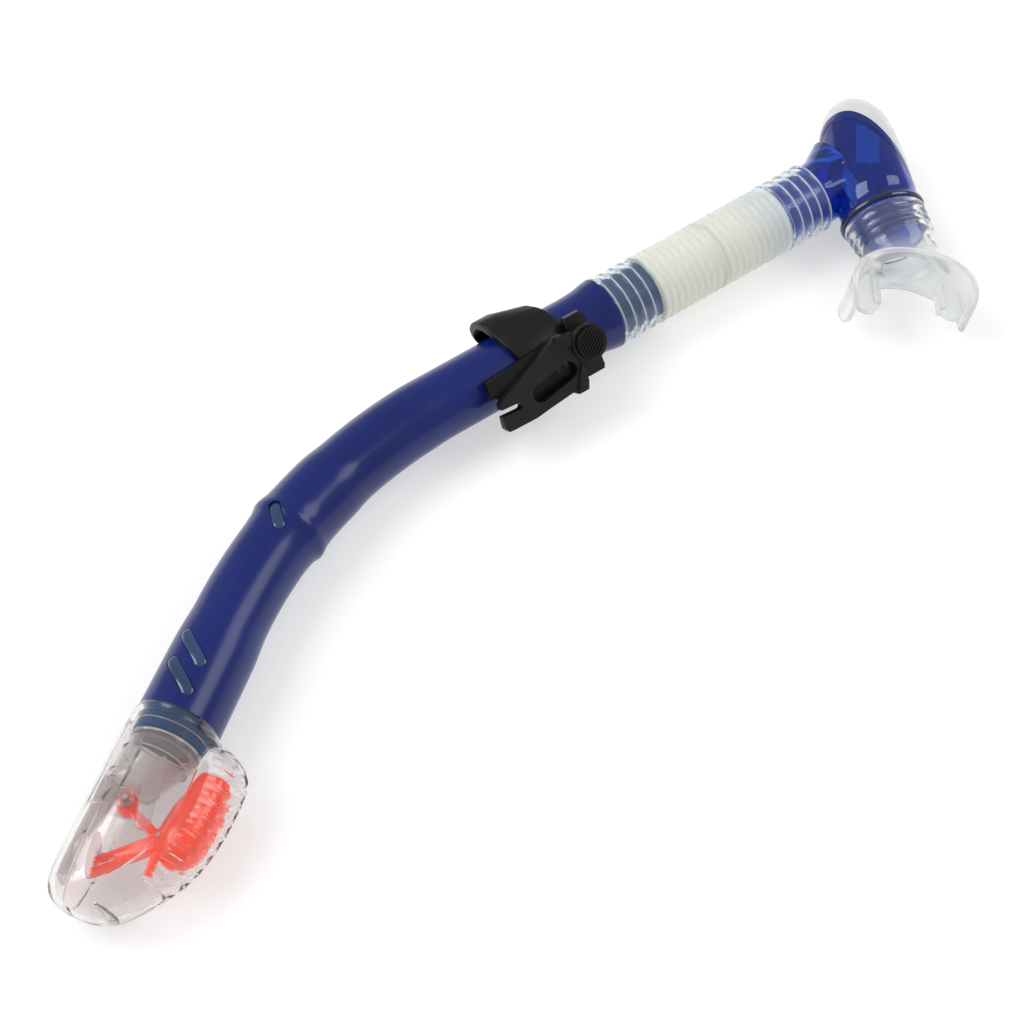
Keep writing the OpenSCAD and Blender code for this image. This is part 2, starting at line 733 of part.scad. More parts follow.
// Outline at one angle round the bore, from the collar's end out to the shield's edge and back
function mouth_ring(a) =
    let (c = cos(a), s = sin(a), bore_turn = asin(12 / shield_half_w),
         oval = function (w, h, y) [w * c, y, h * s],
         on = function (t, lift) neck_bent(on_shield(
             (1 - t) * bore_turn * c + t * shield_wrap * bulge(c, 0.8),
             (1 - t) * 8.6 * s + t * (shield_half_h - 3 + 3 * abs(c)) * bulge(s, 0.5), lift)))
    [oval(17, 14, -0.3), oval(17, 14, -4), oval(16, 13, -5), oval(16.2, 13.2, -9),
     oval(15.2, 12.2, -10.4), oval(15.2, 12.2, -15), oval(14.4, 11.4, -18.5), on(0.16, 3),
     on(0.45, 2.4), on(0.94, silicone), on(1, silicone / 2), on(0.94, 0), on(0.4, 0), on(0.02, 0),
     oval(11, 8, -22), oval(11.4, 8.4, -16), oval(13.5, 10.5, -12.4), oval(13.5, 10.5, -0.3)];

// A point turned and twisted about the neck
function neck_bent(p) =
    let (q = [p[0] * cos(mouth_twist) + p[2] * sin(mouth_twist), p[1] - neck_y,
              p[2] * cos(mouth_twist) - p[0] * sin(mouth_twist)])
    [q[0] * cos(mouth_turn) - q[1] * sin(mouth_turn),
     q[0] * sin(mouth_turn) + q[1] * cos(mouth_turn) + neck_y, q[2]];

module mouthpiece() {
    around = 40;
    ring = len(mouth_ring(0));
    points = [for (i = [0 : around - 1]) each mouth_ring(360 * i / around)];
    faces = [for (i = [0 : around - 1], j = [0 : ring - 1], half = [0, 1])
        let (n = (i + 1) % around, k = (j + 1) % ring,
             a = i * ring + j, b = n * ring + j, c = n * ring + k, d = i * ring + k)
        half == 0 ? [a, c, b] : [a, d, c]];
    color("ghostwhite") chamber_frame() rotate([0, 0, mouth_lean]) {
        polyhedron(points, faces);
        translate([0, neck_y, 0]) rotate([0, mouth_twist, mouth_turn]) for (side = [-1, 1])
            translate([side * (bite_tab_x + bite_tab[0] / 2), -12.5 - bite_tab[1] / 2, 0])
                cube(bite_tab, center = true);
    }
}

// ---------- drawing ----------

main_tube();
tube_windows();
dry_top_shell();
dry_top_back();
dry_top_grille();
air_duct();
spigot_o_ring();
eyelet_pin();
float_rocker();
float_pin();
float();
seal_flap();
keeper_clip();
strap_plate();
button_spring();
release_button();
corrugated_hose();
purge_chamber();
purge_baffle();
purge_seat();
purge_valve();
purge_cover();
mouthpiece();
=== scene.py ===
import bisect
import math

import bmesh
import bpy
from mathutils import Matrix, Vector


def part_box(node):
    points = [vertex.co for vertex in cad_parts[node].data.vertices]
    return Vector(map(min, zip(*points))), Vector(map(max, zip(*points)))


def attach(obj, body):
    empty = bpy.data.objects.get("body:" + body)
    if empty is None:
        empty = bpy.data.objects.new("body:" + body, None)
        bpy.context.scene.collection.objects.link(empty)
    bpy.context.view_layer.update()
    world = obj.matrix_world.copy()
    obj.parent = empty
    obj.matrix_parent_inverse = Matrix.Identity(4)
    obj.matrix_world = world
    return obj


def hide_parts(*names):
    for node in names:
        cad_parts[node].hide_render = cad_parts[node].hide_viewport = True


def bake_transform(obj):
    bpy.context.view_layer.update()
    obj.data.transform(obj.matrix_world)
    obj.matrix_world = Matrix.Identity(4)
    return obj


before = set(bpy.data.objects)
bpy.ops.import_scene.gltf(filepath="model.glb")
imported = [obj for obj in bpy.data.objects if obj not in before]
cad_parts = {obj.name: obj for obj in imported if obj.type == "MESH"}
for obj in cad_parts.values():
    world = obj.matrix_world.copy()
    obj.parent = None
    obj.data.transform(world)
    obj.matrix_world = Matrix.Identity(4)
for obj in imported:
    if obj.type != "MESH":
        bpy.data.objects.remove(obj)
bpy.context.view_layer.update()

# A snorkel lying on its side: the blue tube with its clear float top, the black strap keeper,
# the silicone hose, the purge chamber and the mouthpiece. Shapes are built in millimetres, each
# in the frame of the part it belongs to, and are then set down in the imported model's frame.

# ---------- sizes, in millimetres ----------

TUBE_R = 13.0               # at the keeper
BORE_R = 10.5
SHOULDER_S = 12.0           # the hose's end, back from the hose joint
BEND_S = 88.0               # start of the bend
BEND_R = 195.0
BEND = math.radians(35)
TAIL = 45.0
HOSE_LEN = 103.0
HOSE_R = 14.3
SPIGOT_R = 11.5
SPIGOT_LEN = 26.0
TOP_SPIGOT_R = 13.3
TOP_SPIGOT_LEN = 9.0
OUTLET = (107.0, -25.5)
OUTLET_LEAN = 20.0
MOUTH_LEAN = 3.5
NECK_Y = -18.0
MOUTH_TURN = -18.0
MOUTH_TWIST = 8.0
KEEPER_TURN = 48.0
POST_X = -32.0
PLATE_ANGLE = 10.0
PIVOT = (33.5, -3.2)
HUB = (42.0, 13.0)
WALL = 1.8
GAP = 0.05                  # left on each side where two covers meet

# ---------- frames ----------


def shift(x, y=0.0, z=0.0):
    return Matrix.Translation((x, y, z))


def turn(axis, degrees):
    return Matrix.Rotation(math.radians(degrees), 4, axis)


hose_low, hose_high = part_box("corrugated_hose")
middle = (hose_low + hose_high) / 2
HOSE = (shift(hose_low.x + SHOULDER_S / 1000, middle.y, middle.z) @ Matrix.Scale(0.001, 4))
BEND_END = HOSE @ shift(-BEND_S, -BEND_R) @ turn("Z", math.degrees(BEND)) @ shift(0, BEND_R)
TOP = BEND_END @ shift(-TAIL) @ turn("Z", 180)      # X outward from the tube, Y to the belly
KEEPER = HOSE @ turn("X", KEEPER_TURN)              # Z faces out through the strap plate
PLATE = KEEPER @ shift(POST_X) @ turn("Z", PLATE_ANGLE)
CHAMBER = HOSE @ shift(*OUTLET) @ turn("Z", -OUTLET_LEAN)
PURGE_LOCAL = shift(5.2, 22) @ turn("Z", 35.5) @ turn("Y", 120.6)
PURGE = CHAMBER @ PURGE_LOCAL                       # Z runs out through the purge valve
MOUTH = CHAMBER @ turn("Z", MOUTH_LEAN)

# ---------- curves ----------


def smooth_table(table, x):
    """Values at x from rows (x, a, b...), joined by a curve that never overshoots them."""
    xs = [row[0] for row in table]
    x = min(max(x, xs[0]), xs[-1])
    i = min(max(bisect.bisect_right(xs, x) - 1, 0), len(xs) - 2)
    h = xs[i + 1] - xs[i]
    t = (x - xs[i]) / h

    def slope(k, c):
        if k <= 0 or k >= len(xs) - 1:
            near = 0 if k <= 0 else len(xs) - 2
            return (table[near + 1][c] - table[near][c]) / (xs[near + 1] - xs[near])
        before = (table[k][c] - table[k - 1][c]) / (xs[k] - xs[k - 1])
        after = (table[k + 1][c] - table[k][c]) / (xs[k + 1] - xs[k])
        return 0.0 if before * after <= 0 else 2 * before * after / (before + after)

    out = []
    for c in range(1, len(table[0])):
        a, b = table[i][c], table[i + 1][c]
        m, n = slope(i, c) * h, slope(i + 1, c) * h
        out.append((2 * t**3 - 3 * t**2 + 1) * a + (t**3 - 2 * t**2 + t) * m
                   + (3 * t**2 - 2 * t**3) * b + (t**3 - t**2) * n)
    return out


def steps(start, end, count):
    return [start + (end - start) * i / count for i in range(count + 1)]


def circle(count):
    return [2 * math.pi * j / count for j in range(count)]


# ---------- mesh tools ----------


def skin(rows, wrap=False):
    """Points and faces over rows of points that each close on themselves, with flat ends."""
    m = len(rows[0])
    points = [p for row in rows for p in row]
    faces = []
    last = len(rows) if wrap else len(rows) - 1
    for i in range(last):
        for j in range(m):
            a, b = i * m, ((i + 1) % len(rows)) * m
            faces.append((a + j, a + (j + 1) % m, b + (j + 1) % m, b + j))
    if not wrap:
        faces.append(tuple(range(m)))
        faces.append(tuple((len(rows) - 1) * m + j for j in range(m)))
    return points, faces


def put_in_scene(name, data):
    obj = bpy.data.objects.new(name, data)
    bpy.context.scene.collection.objects.link(obj)
    return obj


def solid(name, points, faces):
    """A mesh object in millimetres, its faces all turned outward."""
    mesh = bpy.data.meshes.new(name)
    mesh.from_pydata([tuple(p) for p in points], [], faces)
    work = bmesh.new()
    work.from_mesh(mesh)
    bmesh.ops.recalc_face_normals(work, faces=work.faces)
    work.to_mesh(mesh)
    work.free()
    return put_in_scene(name, mesh)


def spun(name, profile, count=72):
    """A closed profile of (x, radius) turned about X."""
    rows = [[Vector((x, r * math.cos(a), r * math.sin(a))) for x, r in profile]
            for a in circle(count)]
    return solid(name, *skin(rows, wrap=True))


def prism(outline, low, high, name="tool"):
    """An outline in XY carried from one height to another."""
    return solid(name, *skin([[Vector((x, y, z)) for x, y in outline] for z in (low, high)]))


def block(low, high, name="tool"):
    """A box from its lowest corner to its highest."""
    outline = [(low[0], low[1]), (high[0], low[1]), (high[0], high[1]), (low[0], high[1])]
    return prism(outline, low[2], high[2], name)


def drum(x, y, low, high, r, count=48, name="tool"):
    """A round bar along Z."""
    outline = [(x + r * math.cos(a), y + r * math.sin(a)) for a in circle(count)]
    return prism(outline, low, high, name)


def round_bar(start, end, r):
    """A round bar along X, to cut or add with."""
    return spun("tool", [(start, 0.01), (start, r), (end, r), (end, 0.01)], 96)


def capsule(length, width, count=12, at=(0.0, 0.0), angle=0.0):
    """The outline of a round-ended bar."""
    half, r = (length - width) / 2, width / 2
    c, s = math.cos(math.radians(angle)), math.sin(math.radians(angle))
    out = []
    for end in (1, -1):
        for k in range(count + 1):
            a = math.radians(-90 + 180 * k / count) + (0 if end > 0 else math.pi)
            x, y = end * half + r * math.cos(a), r * math.sin(a)
            out.append((at[0] + x * c - y * s, at[1] + x * s + y * c))
    return out


def apply_modifiers(obj):
    """Makes the modifiers' result the object's own mesh."""
    graph = bpy.context.evaluated_depsgraph_get()
    mesh = bpy.data.meshes.new_from_object(obj.evaluated_get(graph))
    obj.modifiers.clear()
    obj.data = mesh


def combine(obj, tool, how="DIFFERENCE"):
    """Cuts the tool out of obj, adds it, or keeps only what both hold; the tool goes."""
    modifier = obj.modifiers.new("combine", "BOOLEAN")
    modifier.object, modifier.operation, modifier.solver = tool, how, "EXACT"
    apply_modifiers(obj)
    bpy.data.objects.remove(tool)
    return obj


def add(obj, tool):
    return combine(obj, tool, "UNION")


def soften(obj, width, segments=2, angle=32):
    """Rounds the edges that are sharper than the angle."""
    modifier = obj.modifiers.new("bevel", "BEVEL")
    modifier.width, modifier.segments = width, segments
    modifier.limit_method, modifier.angle_limit = "ANGLE", math.radians(angle)
    modifier.miter_outer = "MITER_ARC"
    apply_modifiers(obj)
    return obj


def join(obj, *others):
    """Puts the others' meshes into obj as they are."""
    work = bmesh.new()
    work.from_mesh(obj.data)
    for other in others:
        other.data.transform(other.matrix_world)
        work.from_mesh(other.data)
        bpy.data.objects.remove(other)
    work.to_mesh(obj.data)
    work.free()
    return obj


def moved(obj, matrix):
    obj.data.transform(matrix)
    return obj


def paint(obj, looks, choose):
    """Gives obj several materials; choose says which of them a face at a point has."""
    obj.data.materials.clear()
    for look in looks:
        obj.data.materials.append(look)
    for face in obj.data.polygons:
        face.material_index = int(choose(face.center))


def piece(obj, where, body, look, nodes=(), crease=34):
    """Sets a finished mesh down in the model's frame, hangs it on its body and hides the CAD nodes
    it replaces.
    """
    obj.data.transform(where)
    for face in obj.data.polygons:
        face.use_smooth = True
    obj.data.set_sharp_from_angle(angle=math.radians(crease))
    if not obj.data.materials:
        obj.data.materials.append(look)
    if body:
        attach(obj, body)
    if nodes:
        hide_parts(*nodes)
    return obj


# ---------- materials ----------


def set_sockets(node, sockets):
    for socket, value in sockets.items():
        node.inputs[socket.replace("_", " ")].default_value = value


def add_node(nodes, kind, **sockets):
    node = nodes.new("ShaderNode" + kind)
    set_sockets(node, sockets)
    return node


def material(name, color, rough=0.3, bump=0.02, scale=400.0, vary=0.06, rough_vary=0.08, **sockets):
    """A moulded plastic or silicone: cloudy colour, uneven gloss and a fine grain."""
    mat = bpy.data.materials.new(name)
    mat.use_nodes = True
    nodes, links = mat.node_tree.nodes, mat.node_tree.links
    shader = nodes["Principled BSDF"]
    place = nodes.new("ShaderNodeTexCoord")
    cloud = add_node(nodes, "TexNoise", Scale=22.0, Detail=3.0)
    grain = add_node(nodes, "TexNoise", Scale=scale, Detail=4.0)
    tint = nodes.new("ShaderNodeValToRGB")
    for element, factor, position in zip(tint.color_ramp.elements, (1 - vary, 1 + vary),
                                         (0.3, 0.7)):
        element.color = [min(1.0, c * factor) for c in color] + [1.0]
        element.position = position
    gloss = add_node(nodes, "MapRange", To_Min=max(0.0, rough - rough_vary),
                     To_Max=rough + rough_vary)
    relief = add_node(nodes, "Bump", Strength=bump, Distance=0.001)
    links.new(place.outputs["Object"], cloud.inputs["Vector"])
    links.new(place.outputs["Object"], grain.inputs["Vector"])
    links.new(cloud.outputs["Fac"], tint.inputs["Fac"])
    links.new(cloud.outputs["Fac"], gloss.inputs["Value"])
    links.new(grain.outputs["Fac"], relief.inputs["Height"])
    links.new(tint.outputs["Color"], shader.inputs["Base Color"])
    links.new(gloss.outputs["Result"], shader.inputs["Roughness"])
    links.new(relief.outputs["Normal"], shader.inputs["Normal"])
    set_sockets(shader, sockets)
    return mat


TUBE_BLUE = material("tube_blue", (0.0025, 0.012, 0.125), rough=0.24, bump=0.03, scale=260,
                     vary=0.15, Specular_IOR_Level=0.32, Coat_Weight=0.12, Coat_Roughness=0.1)
WINDOW_BLUE = material("window_blue", (0.012, 0.045, 0.125), rough=0.1, bump=0.04, scale=120,
                       vary=0.45, Specular_IOR_Level=0.45, Coat_Weight=0.4, Coat_Roughness=0.04)
SPIGOT_BLUE = material("spigot_blue", (0.035, 0.12, 0.32), rough=0.2, vary=0.3,
                       Transmission_Weight=0.4, IOR=1.2)
CLEAR = material("clear_plastic", (0.9, 0.868, 0.865), rough=0.05, bump=0.012, scale=60, vary=0.015,
                 rough_vary=0.02, Transmission_Weight=1.0, IOR=1.16, Coat_Weight=0.7,
                 Coat_Roughness=0.03)
CLEAR_GRILLE = material("clear_grille", (0.93, 0.905, 0.9), rough=0.06, bump=0.012, scale=60,
                        vary=0.015, rough_vary=0.02, Transmission_Weight=1.0, IOR=1.07,
                        Coat_Weight=0.8, Coat_Roughness=0.04)
CLEAR_DUCT = material("clear_duct", (0.9, 0.885, 0.885), rough=0.08, bump=0.012, scale=60,
                      vary=0.02, rough_vary=0.03, Transmission_Weight=0.86, IOR=1.14,
                      Coat_Weight=0.8, Coat_Roughness=0.05)
# painted light: the float and its rocker glow a faint orange, standing in for light passing through
# the plastic
GLOWING_ORANGE = material("float_orange", (1.0, 0.075, 0.035), rough=0.28, bump=0.03, vary=0.15,
                  Specular_IOR_Level=0.5, Coat_Weight=0.5, Coat_Roughness=0.12,
                  Emission_Color=(1.0, 0.04, 0.015, 1), Emission_Strength=0.2)
FLAP = material("flap_silicone", (0.86, 0.8, 0.79), rough=0.4, vary=0.03,
                Transmission_Weight=0.6, IOR=1.2)
STEEL = material("pin_steel", (0.6, 0.6, 0.62), rough=0.25, Metallic=1.0)
BLACK = material("keeper_black", (0.003, 0.003, 0.0034), rough=0.36, bump=0.1, scale=900, vary=0.25,
                 Specular_IOR_Level=0.3)
PLATE_BLACK = material("plate_black", (0.005, 0.0052, 0.0056), rough=0.4, bump=0.14, scale=900,
                       vary=0.25, Specular_IOR_Level=0.35)
HOSE_CLEAR = material("hose_clear", (0.8, 0.88, 0.95), rough=0.12, bump=0.02, vary=0.03,
                      Transmission_Weight=0.97, IOR=1.15, Coat_Weight=0.7, Coat_Roughness=0.06)
HOSE_RING = material("hose_ring", (0.74, 0.81, 0.86), rough=0.2, bump=0.02, vary=0.04,
                     Transmission_Weight=0.5, IOR=1.2, Coat_Weight=0.5, Coat_Roughness=0.06)
CHAMBER_BLUE = material("chamber_blue", (0.012, 0.1, 0.62), rough=0.05, bump=0.01, scale=120,
                        vary=0.12, rough_vary=0.03, Transmission_Weight=0.9, IOR=1.3,
                        Coat_Weight=0.5, Coat_Roughness=0.03)
# painted shade: a near-black blue for the outlet's thick ring
RIM_SHADE_BLUE = material("rim_shade_blue", (0.004, 0.006, 0.06), rough=0.1, vary=0.2, Coat_Weight=0.5,
                    Coat_Roughness=0.05)
# painted light: the baffle and the seat's raised pad glow pale blue, a lighter patch standing in
# for light showing through the chamber
GLOWING_PALE_BLUE = material("baffle_blue", (0.3, 0.5, 0.85), rough=0.4, vary=0.3,
                       Emission_Color=(0.6, 0.75, 0.6, 1), Emission_Strength=0.42)
SEAT_BLUE = material("seat_blue", (0.02, 0.14, 0.6), rough=0.3, vary=0.12)
COVER_WHITE = material("cover_white", (0.9, 0.9, 0.915), rough=0.28, bump=0.02, vary=0.03,
                       Transmission_Weight=0.35, IOR=1.2, Coat_Weight=0.4, Coat_Roughness=0.08)


def hose_ribs_material():
    """Milky silicone, creamier at the tube's end and clearer and bluer at the chamber's."""
    mat = material("hose_ribs", (0.93, 0.935, 0.85), rough=0.3, bump=0.02, vary=0.03,
                   Transmission_Weight=0.35, IOR=1.15, Coat_Weight=0.25, Coat_Roughness=0.12)
    nodes, links = mat.node_tree.nodes, mat.node_tree.links
    shader = nodes["Principled BSDF"]
    cloudy = shader.inputs["Base Color"].links[0].from_socket
    place = nodes.new("ShaderNodeTexCoord")
    split = nodes.new("ShaderNodeSeparateXYZ")
    along = add_node(nodes, "MapRange", From_Max=hose_high.x,
                     From_Min=hose_low.x + 0.6 * (hose_high.x - hose_low.x))
    mix = add_node(nodes, "MixRGB", Color2=(0.6, 0.7, 0.82, 1))
    links.new(place.outputs["Object"], split.inputs["Vector"])
    links.new(split.outputs["X"], along.inputs["Value"])
    links.new(along.outputs["Result"], mix.inputs["Fac"])
    links.new(cloudy, mix.inputs["Color1"])
    links.new(mix.outputs["Color"], shader.inputs["Base Color"])
    return mat


def mouth_material():
    """Soft silicone, clear round the collar and milky where it reaches the shield."""
    mat = material("mouth_silicone", (0.93, 0.945, 0.94), rough=0.14, bump=0.02, scale=150,
                   vary=0.02, rough_vary=0.06, IOR=1.17, Coat_Weight=0.8, Coat_Roughness=0.07)
    nodes, links = mat.node_tree.nodes, mat.node_tree.links
    place = nodes.new("ShaderNodeTexCoord")
    distance = nodes.new("ShaderNodeVectorMath")
    distance.operation = "DISTANCE"
    distance.inputs[1].default_value = MOUTH @ Vector((0, 6, 0))
    along = add_node(nodes, "MapRange", From_Min=0.024, From_Max=0.034, To_Min=0.97, To_Max=0.6)
    links.new(place.outputs["Object"], distance.inputs[0])
    links.new(distance.outputs["Value"], along.inputs["Value"])
    links.new(along.outputs["Result"], nodes["Principled BSDF"].inputs["Transmission Weight"])
    return mat


HOSE_RIBS = hose_ribs_material()
SILICONE = mouth_material()

# ---------- main tube ----------

# Outside radius along the tube: (distance from the hose joint, radius)
TUBE_PROFILE = [(12, 14.5), (15, 14.1), (20, 13.3), (27, TUBE_R), (88, TUBE_R), (100, 13.25),
                (132, 13.3), (144, 14.05), (156, 14.1), (161.2, 14.4), (165.4, 15.15),
                (166.8, 15.15), (168.7, 14.3), (177, 13.8), (207, 13.9), (222, 14.8), (252, 15.2)]
TUBE_END_S = BEND_S + BEND * BEND_R + TAIL
# Windows: (distance from the hose joint, angle from the top round to the outside, length)
WINDOWS = [(TUBE_END_S - 11.6, 12.0, 18.5), (TUBE_END_S - 23.3, 14.0, 18.5),
           (BEND_S + math.radians(23.9) * BEND_R, 5.5, 12.0)]
WINDOW_W, WINDOW_SLANT = 4.4, 48.0
WINDOW_GAP = 0.12           # round the lens
WINDOW_R = 14.5             # the tube's radius where the windows are, near enough
WINDOW_FLOOR_R = 13.1       # the bottom of the recess


def along_tube(s):
    """The tube's centre at s mm from the hose joint, and how far it has turned there."""
    if s < BEND_S:
        return Vector((-s, 0, 0)), 0.0
    a = min((s - BEND_S) / BEND_R, BEND)
    rest = s - BEND_S - a * BEND_R
    centre = Vector((-BEND_S - BEND_R * math.sin(a), BEND_R * (math.cos(a) - 1), 0))
    return centre + rest * Vector((-math.cos(a), -math.sin(a), 0)), a


def on_tube(s, angle, r):
    """A point r from the centreline; angle 0 is the outside of the bend, 90 degrees the top."""
    centre, a = along_tube(s)
    out = Vector((-math.sin(a), math.cos(a), 0))
    return centre + out * (r * math.cos(angle)) + Vector((0, 0, r * math.sin(angle)))


def tube_rows(stations, radius, count):
    """Rings round the tube's centreline, with the radius a function of the station."""
    return [[on_tube(s, a, radius(s)) for a in circle(count)] for s in stations]


def window_outline(length, width):
    """A capsule whose long sides are cut short enough to follow the tube."""
    outline = capsule(length, width, 10)
    fine = []
    for (x0, y0), (x1, y1) in zip(outline, outline[1:] + outline[:1]):
        parts = max(1, round(math.hypot(x1 - x0, y1 - y0)))
        fine += [(x0 + (x1 - x0) * k / parts, y0 + (y1 - y0) * k / parts) for k in range(parts)]
    return fine


def window_point(window, a, b, r):
    """A point a mm along a window and b mm across it, r from the tube's centreline."""
    s, w, _ = window
    slant = math.radians(WINDOW_SLANT)
    ds = -(a * math.cos(slant) - b * math.sin(slant))
    around = (a * math.sin(slant) + b * math.cos(slant)) / WINDOW_R
    return on_tube(s + ds, math.radians(90 - w) - around, r)


def tube_radius(s):
    return smooth_table(TUBE_PROFILE, s)[0]


def window_tool(window, grow, low, high):
    """The space of a window's recess, from one radius to another."""
    outline = window_outline(window[2] + 2 * grow, WINDOW_W + 2 * grow)
    rows = [[window_point(window, x, y, r) for x, y in outline] for r in (low, high)]
    return solid("tool", *skin(rows))


def make_tube():
    outer = steps(SHOULDER_S, TUBE_END_S, 168)
    rows = tube_rows(steps(-SPIGOT_LEN + SHOULDER_S, SHOULDER_S, 18), lambda s: SPIGOT_R, 96)
    rows += tube_rows(outer, tube_radius, 96)
    rows += tube_rows([TUBE_END_S + x for x in (0.0, 3.8, 4.0, 5.8, 6.0, 8.6)],
                      lambda s: TOP_SPIGOT_R, 96)
    rows += tube_rows([TUBE_END_S + TOP_SPIGOT_LEN], lambda s: TOP_SPIGOT_R - 0.4, 96)
    inner = steps(TUBE_END_S + TOP_SPIGOT_LEN, -SPIGOT_LEN + SHOULDER_S, 120)
    rows += tube_rows(inner, lambda s: BORE_R, 96)
    tube = solid("main_tube_shell", *skin(rows, wrap=True))
    for window in WINDOWS:
        combine(tube, window_tool(window, WINDOW_GAP, WINDOW_FLOOR_R, 17.0))
    top_end = on_tube(TUBE_END_S, 0, 0)
    outward = (on_tube(TUBE_END_S + 1, 0, 0) - top_end).normalized()
    # the thin spigots let more light through than the rest
    paint(tube, (TUBE_BLUE, SPIGOT_BLUE),
          lambda at: at.x > -SHOULDER_S + 0.1 or (at - top_end).dot(outward) > 0.1)
    piece(tube, HOSE, "tube", TUBE_BLUE, ["main_tube"], crease=28)


def make_windows():
    lenses = []
    for window in WINDOWS:
        s = window[0]
        # (share of the outline, height over the tube's skin)
        levels = [(1.0, -1.2), (1.0, -0.25), (0.93, -0.1), (0.78, 0.02), (0.5, 0.1), (0.2, 0.14)]
        rows = []
        for share, lift in levels:
            straight = (window[2] - WINDOW_W) / 2
            outline = []
            for x, y in window_outline(window[2], WINDOW_W):
                middle_x = max(-straight, min(straight, x))
                outline.append((middle_x + (x - middle_x) * share, y * share))
            rows.append([window_point(window, x, y, tube_radius(s) + lift) for x, y in outline])
        lenses.append(solid("lens", *skin(rows)))
    windows = join(lenses[0], *lenses[1:])
    windows.name = "tube_windows_lenses"
    piece(windows, HOSE, "tube", WINDOW_BLUE, ["tube_windows"], crease=50)


# ---------- dry top ----------

# (u, lowest v, highest v, half thickness)
TOP_SECTIONS = [(0, -15.4, 15.4, 15.4), (3, -16, 18, 15.9), (6, -16.2, 25.2, 16.4),
                (10, -16.3, 30.4, 16.8), (16, -16.3, 32.6, 17), (25, -16.3, 32.8, 17),
                (34, -16.3, 32.2, 17), (45, -16.3, 30.2, 16.5), (54, -16.3, 26.6, 15.8),
                (62, -16.3, 21.2, 14.5), (68, -15.6, 16.6, 12.7), (71, -14.2, 13.6, 11.2),
                (73, -12.0, 10.6, 9.4), (74.2, -9.2, 7.4, 7.2), (74.9, -5.8, 4.0, 4.6),
                (75.2, -2.6, 1.0, 2.0)]
TOP_LEN = 75.2
# Edge of the belly grille, running along inside the belly
GRILLE_EDGE = [(6.5, 60), (6.5, 25), (8, 20.5), (11, 18.2), (16, 17.4), (26, 17.6), (36, 17.4),
               (45, 15.8), (53, 12.8), (60, 8.6), (66, 3.6), (69.5, 2.2), (72, 4.5), (72.5, 60)]
SLOTS, SLOT_U, SLOT_BAR = 9, (11.5, 62.0), 2.3      # bars of this width between the slots
SLOT_HALF_Z, SPINE_Z, SPINE_HALF = 11.5, 5.4, 0.8   # two spines cross the bars
BACK_STEPS = (8, -12.5), (41, -6.5)                 # (u, v) where the back cover's edge steps


def oval_row(u, low, high, half, inset=0.0, count=96, thick_at=0.0):
    """An oval ring at u whose halves towards the belly and the back have their own reach."""
    row = []
    for a in circle(count):
        c = math.cos(a)
        reach = (high - thick_at if c > 0 else thick_at - low) - inset
        row.append(Vector((u, thick_at + reach * c, (half - inset) * math.sin(a))))
    return row


def top_loft(name, inset, start, end):
    """The form of the top, its surface moved in by inset."""
    rounding = 8.0          # the nose is drawn with finer steps
    stations = steps(start, end - rounding, 44)
    stations += [end - rounding * (1 - math.sin(math.pi / 2 * k / 16)) for k in range(1, 17)]
    rows = []
    for u in stations:
        section = smooth_table(TOP_SECTIONS, u + inset * (u > end - 6))
        rows.append(oval_row(u, *section, inset=inset))
    return solid(name, *skin(rows))


def top_wall(name):
    """The whole thin-walled form of the top, open at its collar."""
    wall = top_loft(name, 0.0, 0.0, TOP_LEN)
    combine(wall, top_loft("tool", WALL, 3.2, TOP_LEN - WALL - 0.4))
    return combine(wall, round_bar(-1, 5, TOP_SPIGOT_R + 0.1))


def back_tool(grow):
    """The space of the back cover, its edge moved out by grow."""
    (u0, v0), (u1, v1) = BACK_STEPS
    tool = block((u0 - grow, -30, -30), (100, v0 + grow, 30))
    return add(tool, block((u1 - grow, -31, -31), (101, v1 + grow, 31)))


def grille_tool(grow):
    """The space of the belly grille, its edge moved out by grow."""
    edge = [(u, v - grow) if 8 < u < 69 else (u + math.copysign(grow, u - 36), v)
            for u, v in GRILLE_EDGE]
    return prism(edge, -30, 30)


def make_dry_top():
    shell = top_wall("dry_top_clear_shell")
    combine(shell, back_tool(GAP))
    combine(shell, grille_tool(GAP))
    soften(shell, 0.25)
    piece(shell, TOP, "tube", CLEAR, ["dry_top_shell"])

    back = top_wall("dry_top_back_cover")
    combine(back, back_tool(-GAP), "INTERSECT")
    soften(back, 0.25)
    piece(back, TOP, "tube", CLEAR, ["dry_top_back"])

    grille = top_wall("dry_top_belly_grille")
    combine(grille, grille_tool(-GAP), "INTERSECT")
    pitch = (SLOT_U[1] - SLOT_U[0]) / SLOTS
    for i in range(SLOTS):
        u = SLOT_U[0] + i * pitch
        edge = max(smooth_table(TOP_SECTIONS, u)[1] * 0.62, 10.5)
        for low, high in ((-SLOT_HALF_Z, -SPINE_Z - SPINE_HALF),
                          (-SPINE_Z + SPINE_HALF, SPINE_Z - SPINE_HALF),
                          (SPINE_Z + SPINE_HALF, SLOT_HALF_Z)):
            slot = block((u, edge, low), (u + pitch - SLOT_BAR, 60, high))
            combine(grille, soften(slot, 1.1, 3))
    soften(grille, 0.35, 3)
    piece(grille, TOP, "tube", CLEAR_GRILLE, ["dry_top_grille"])


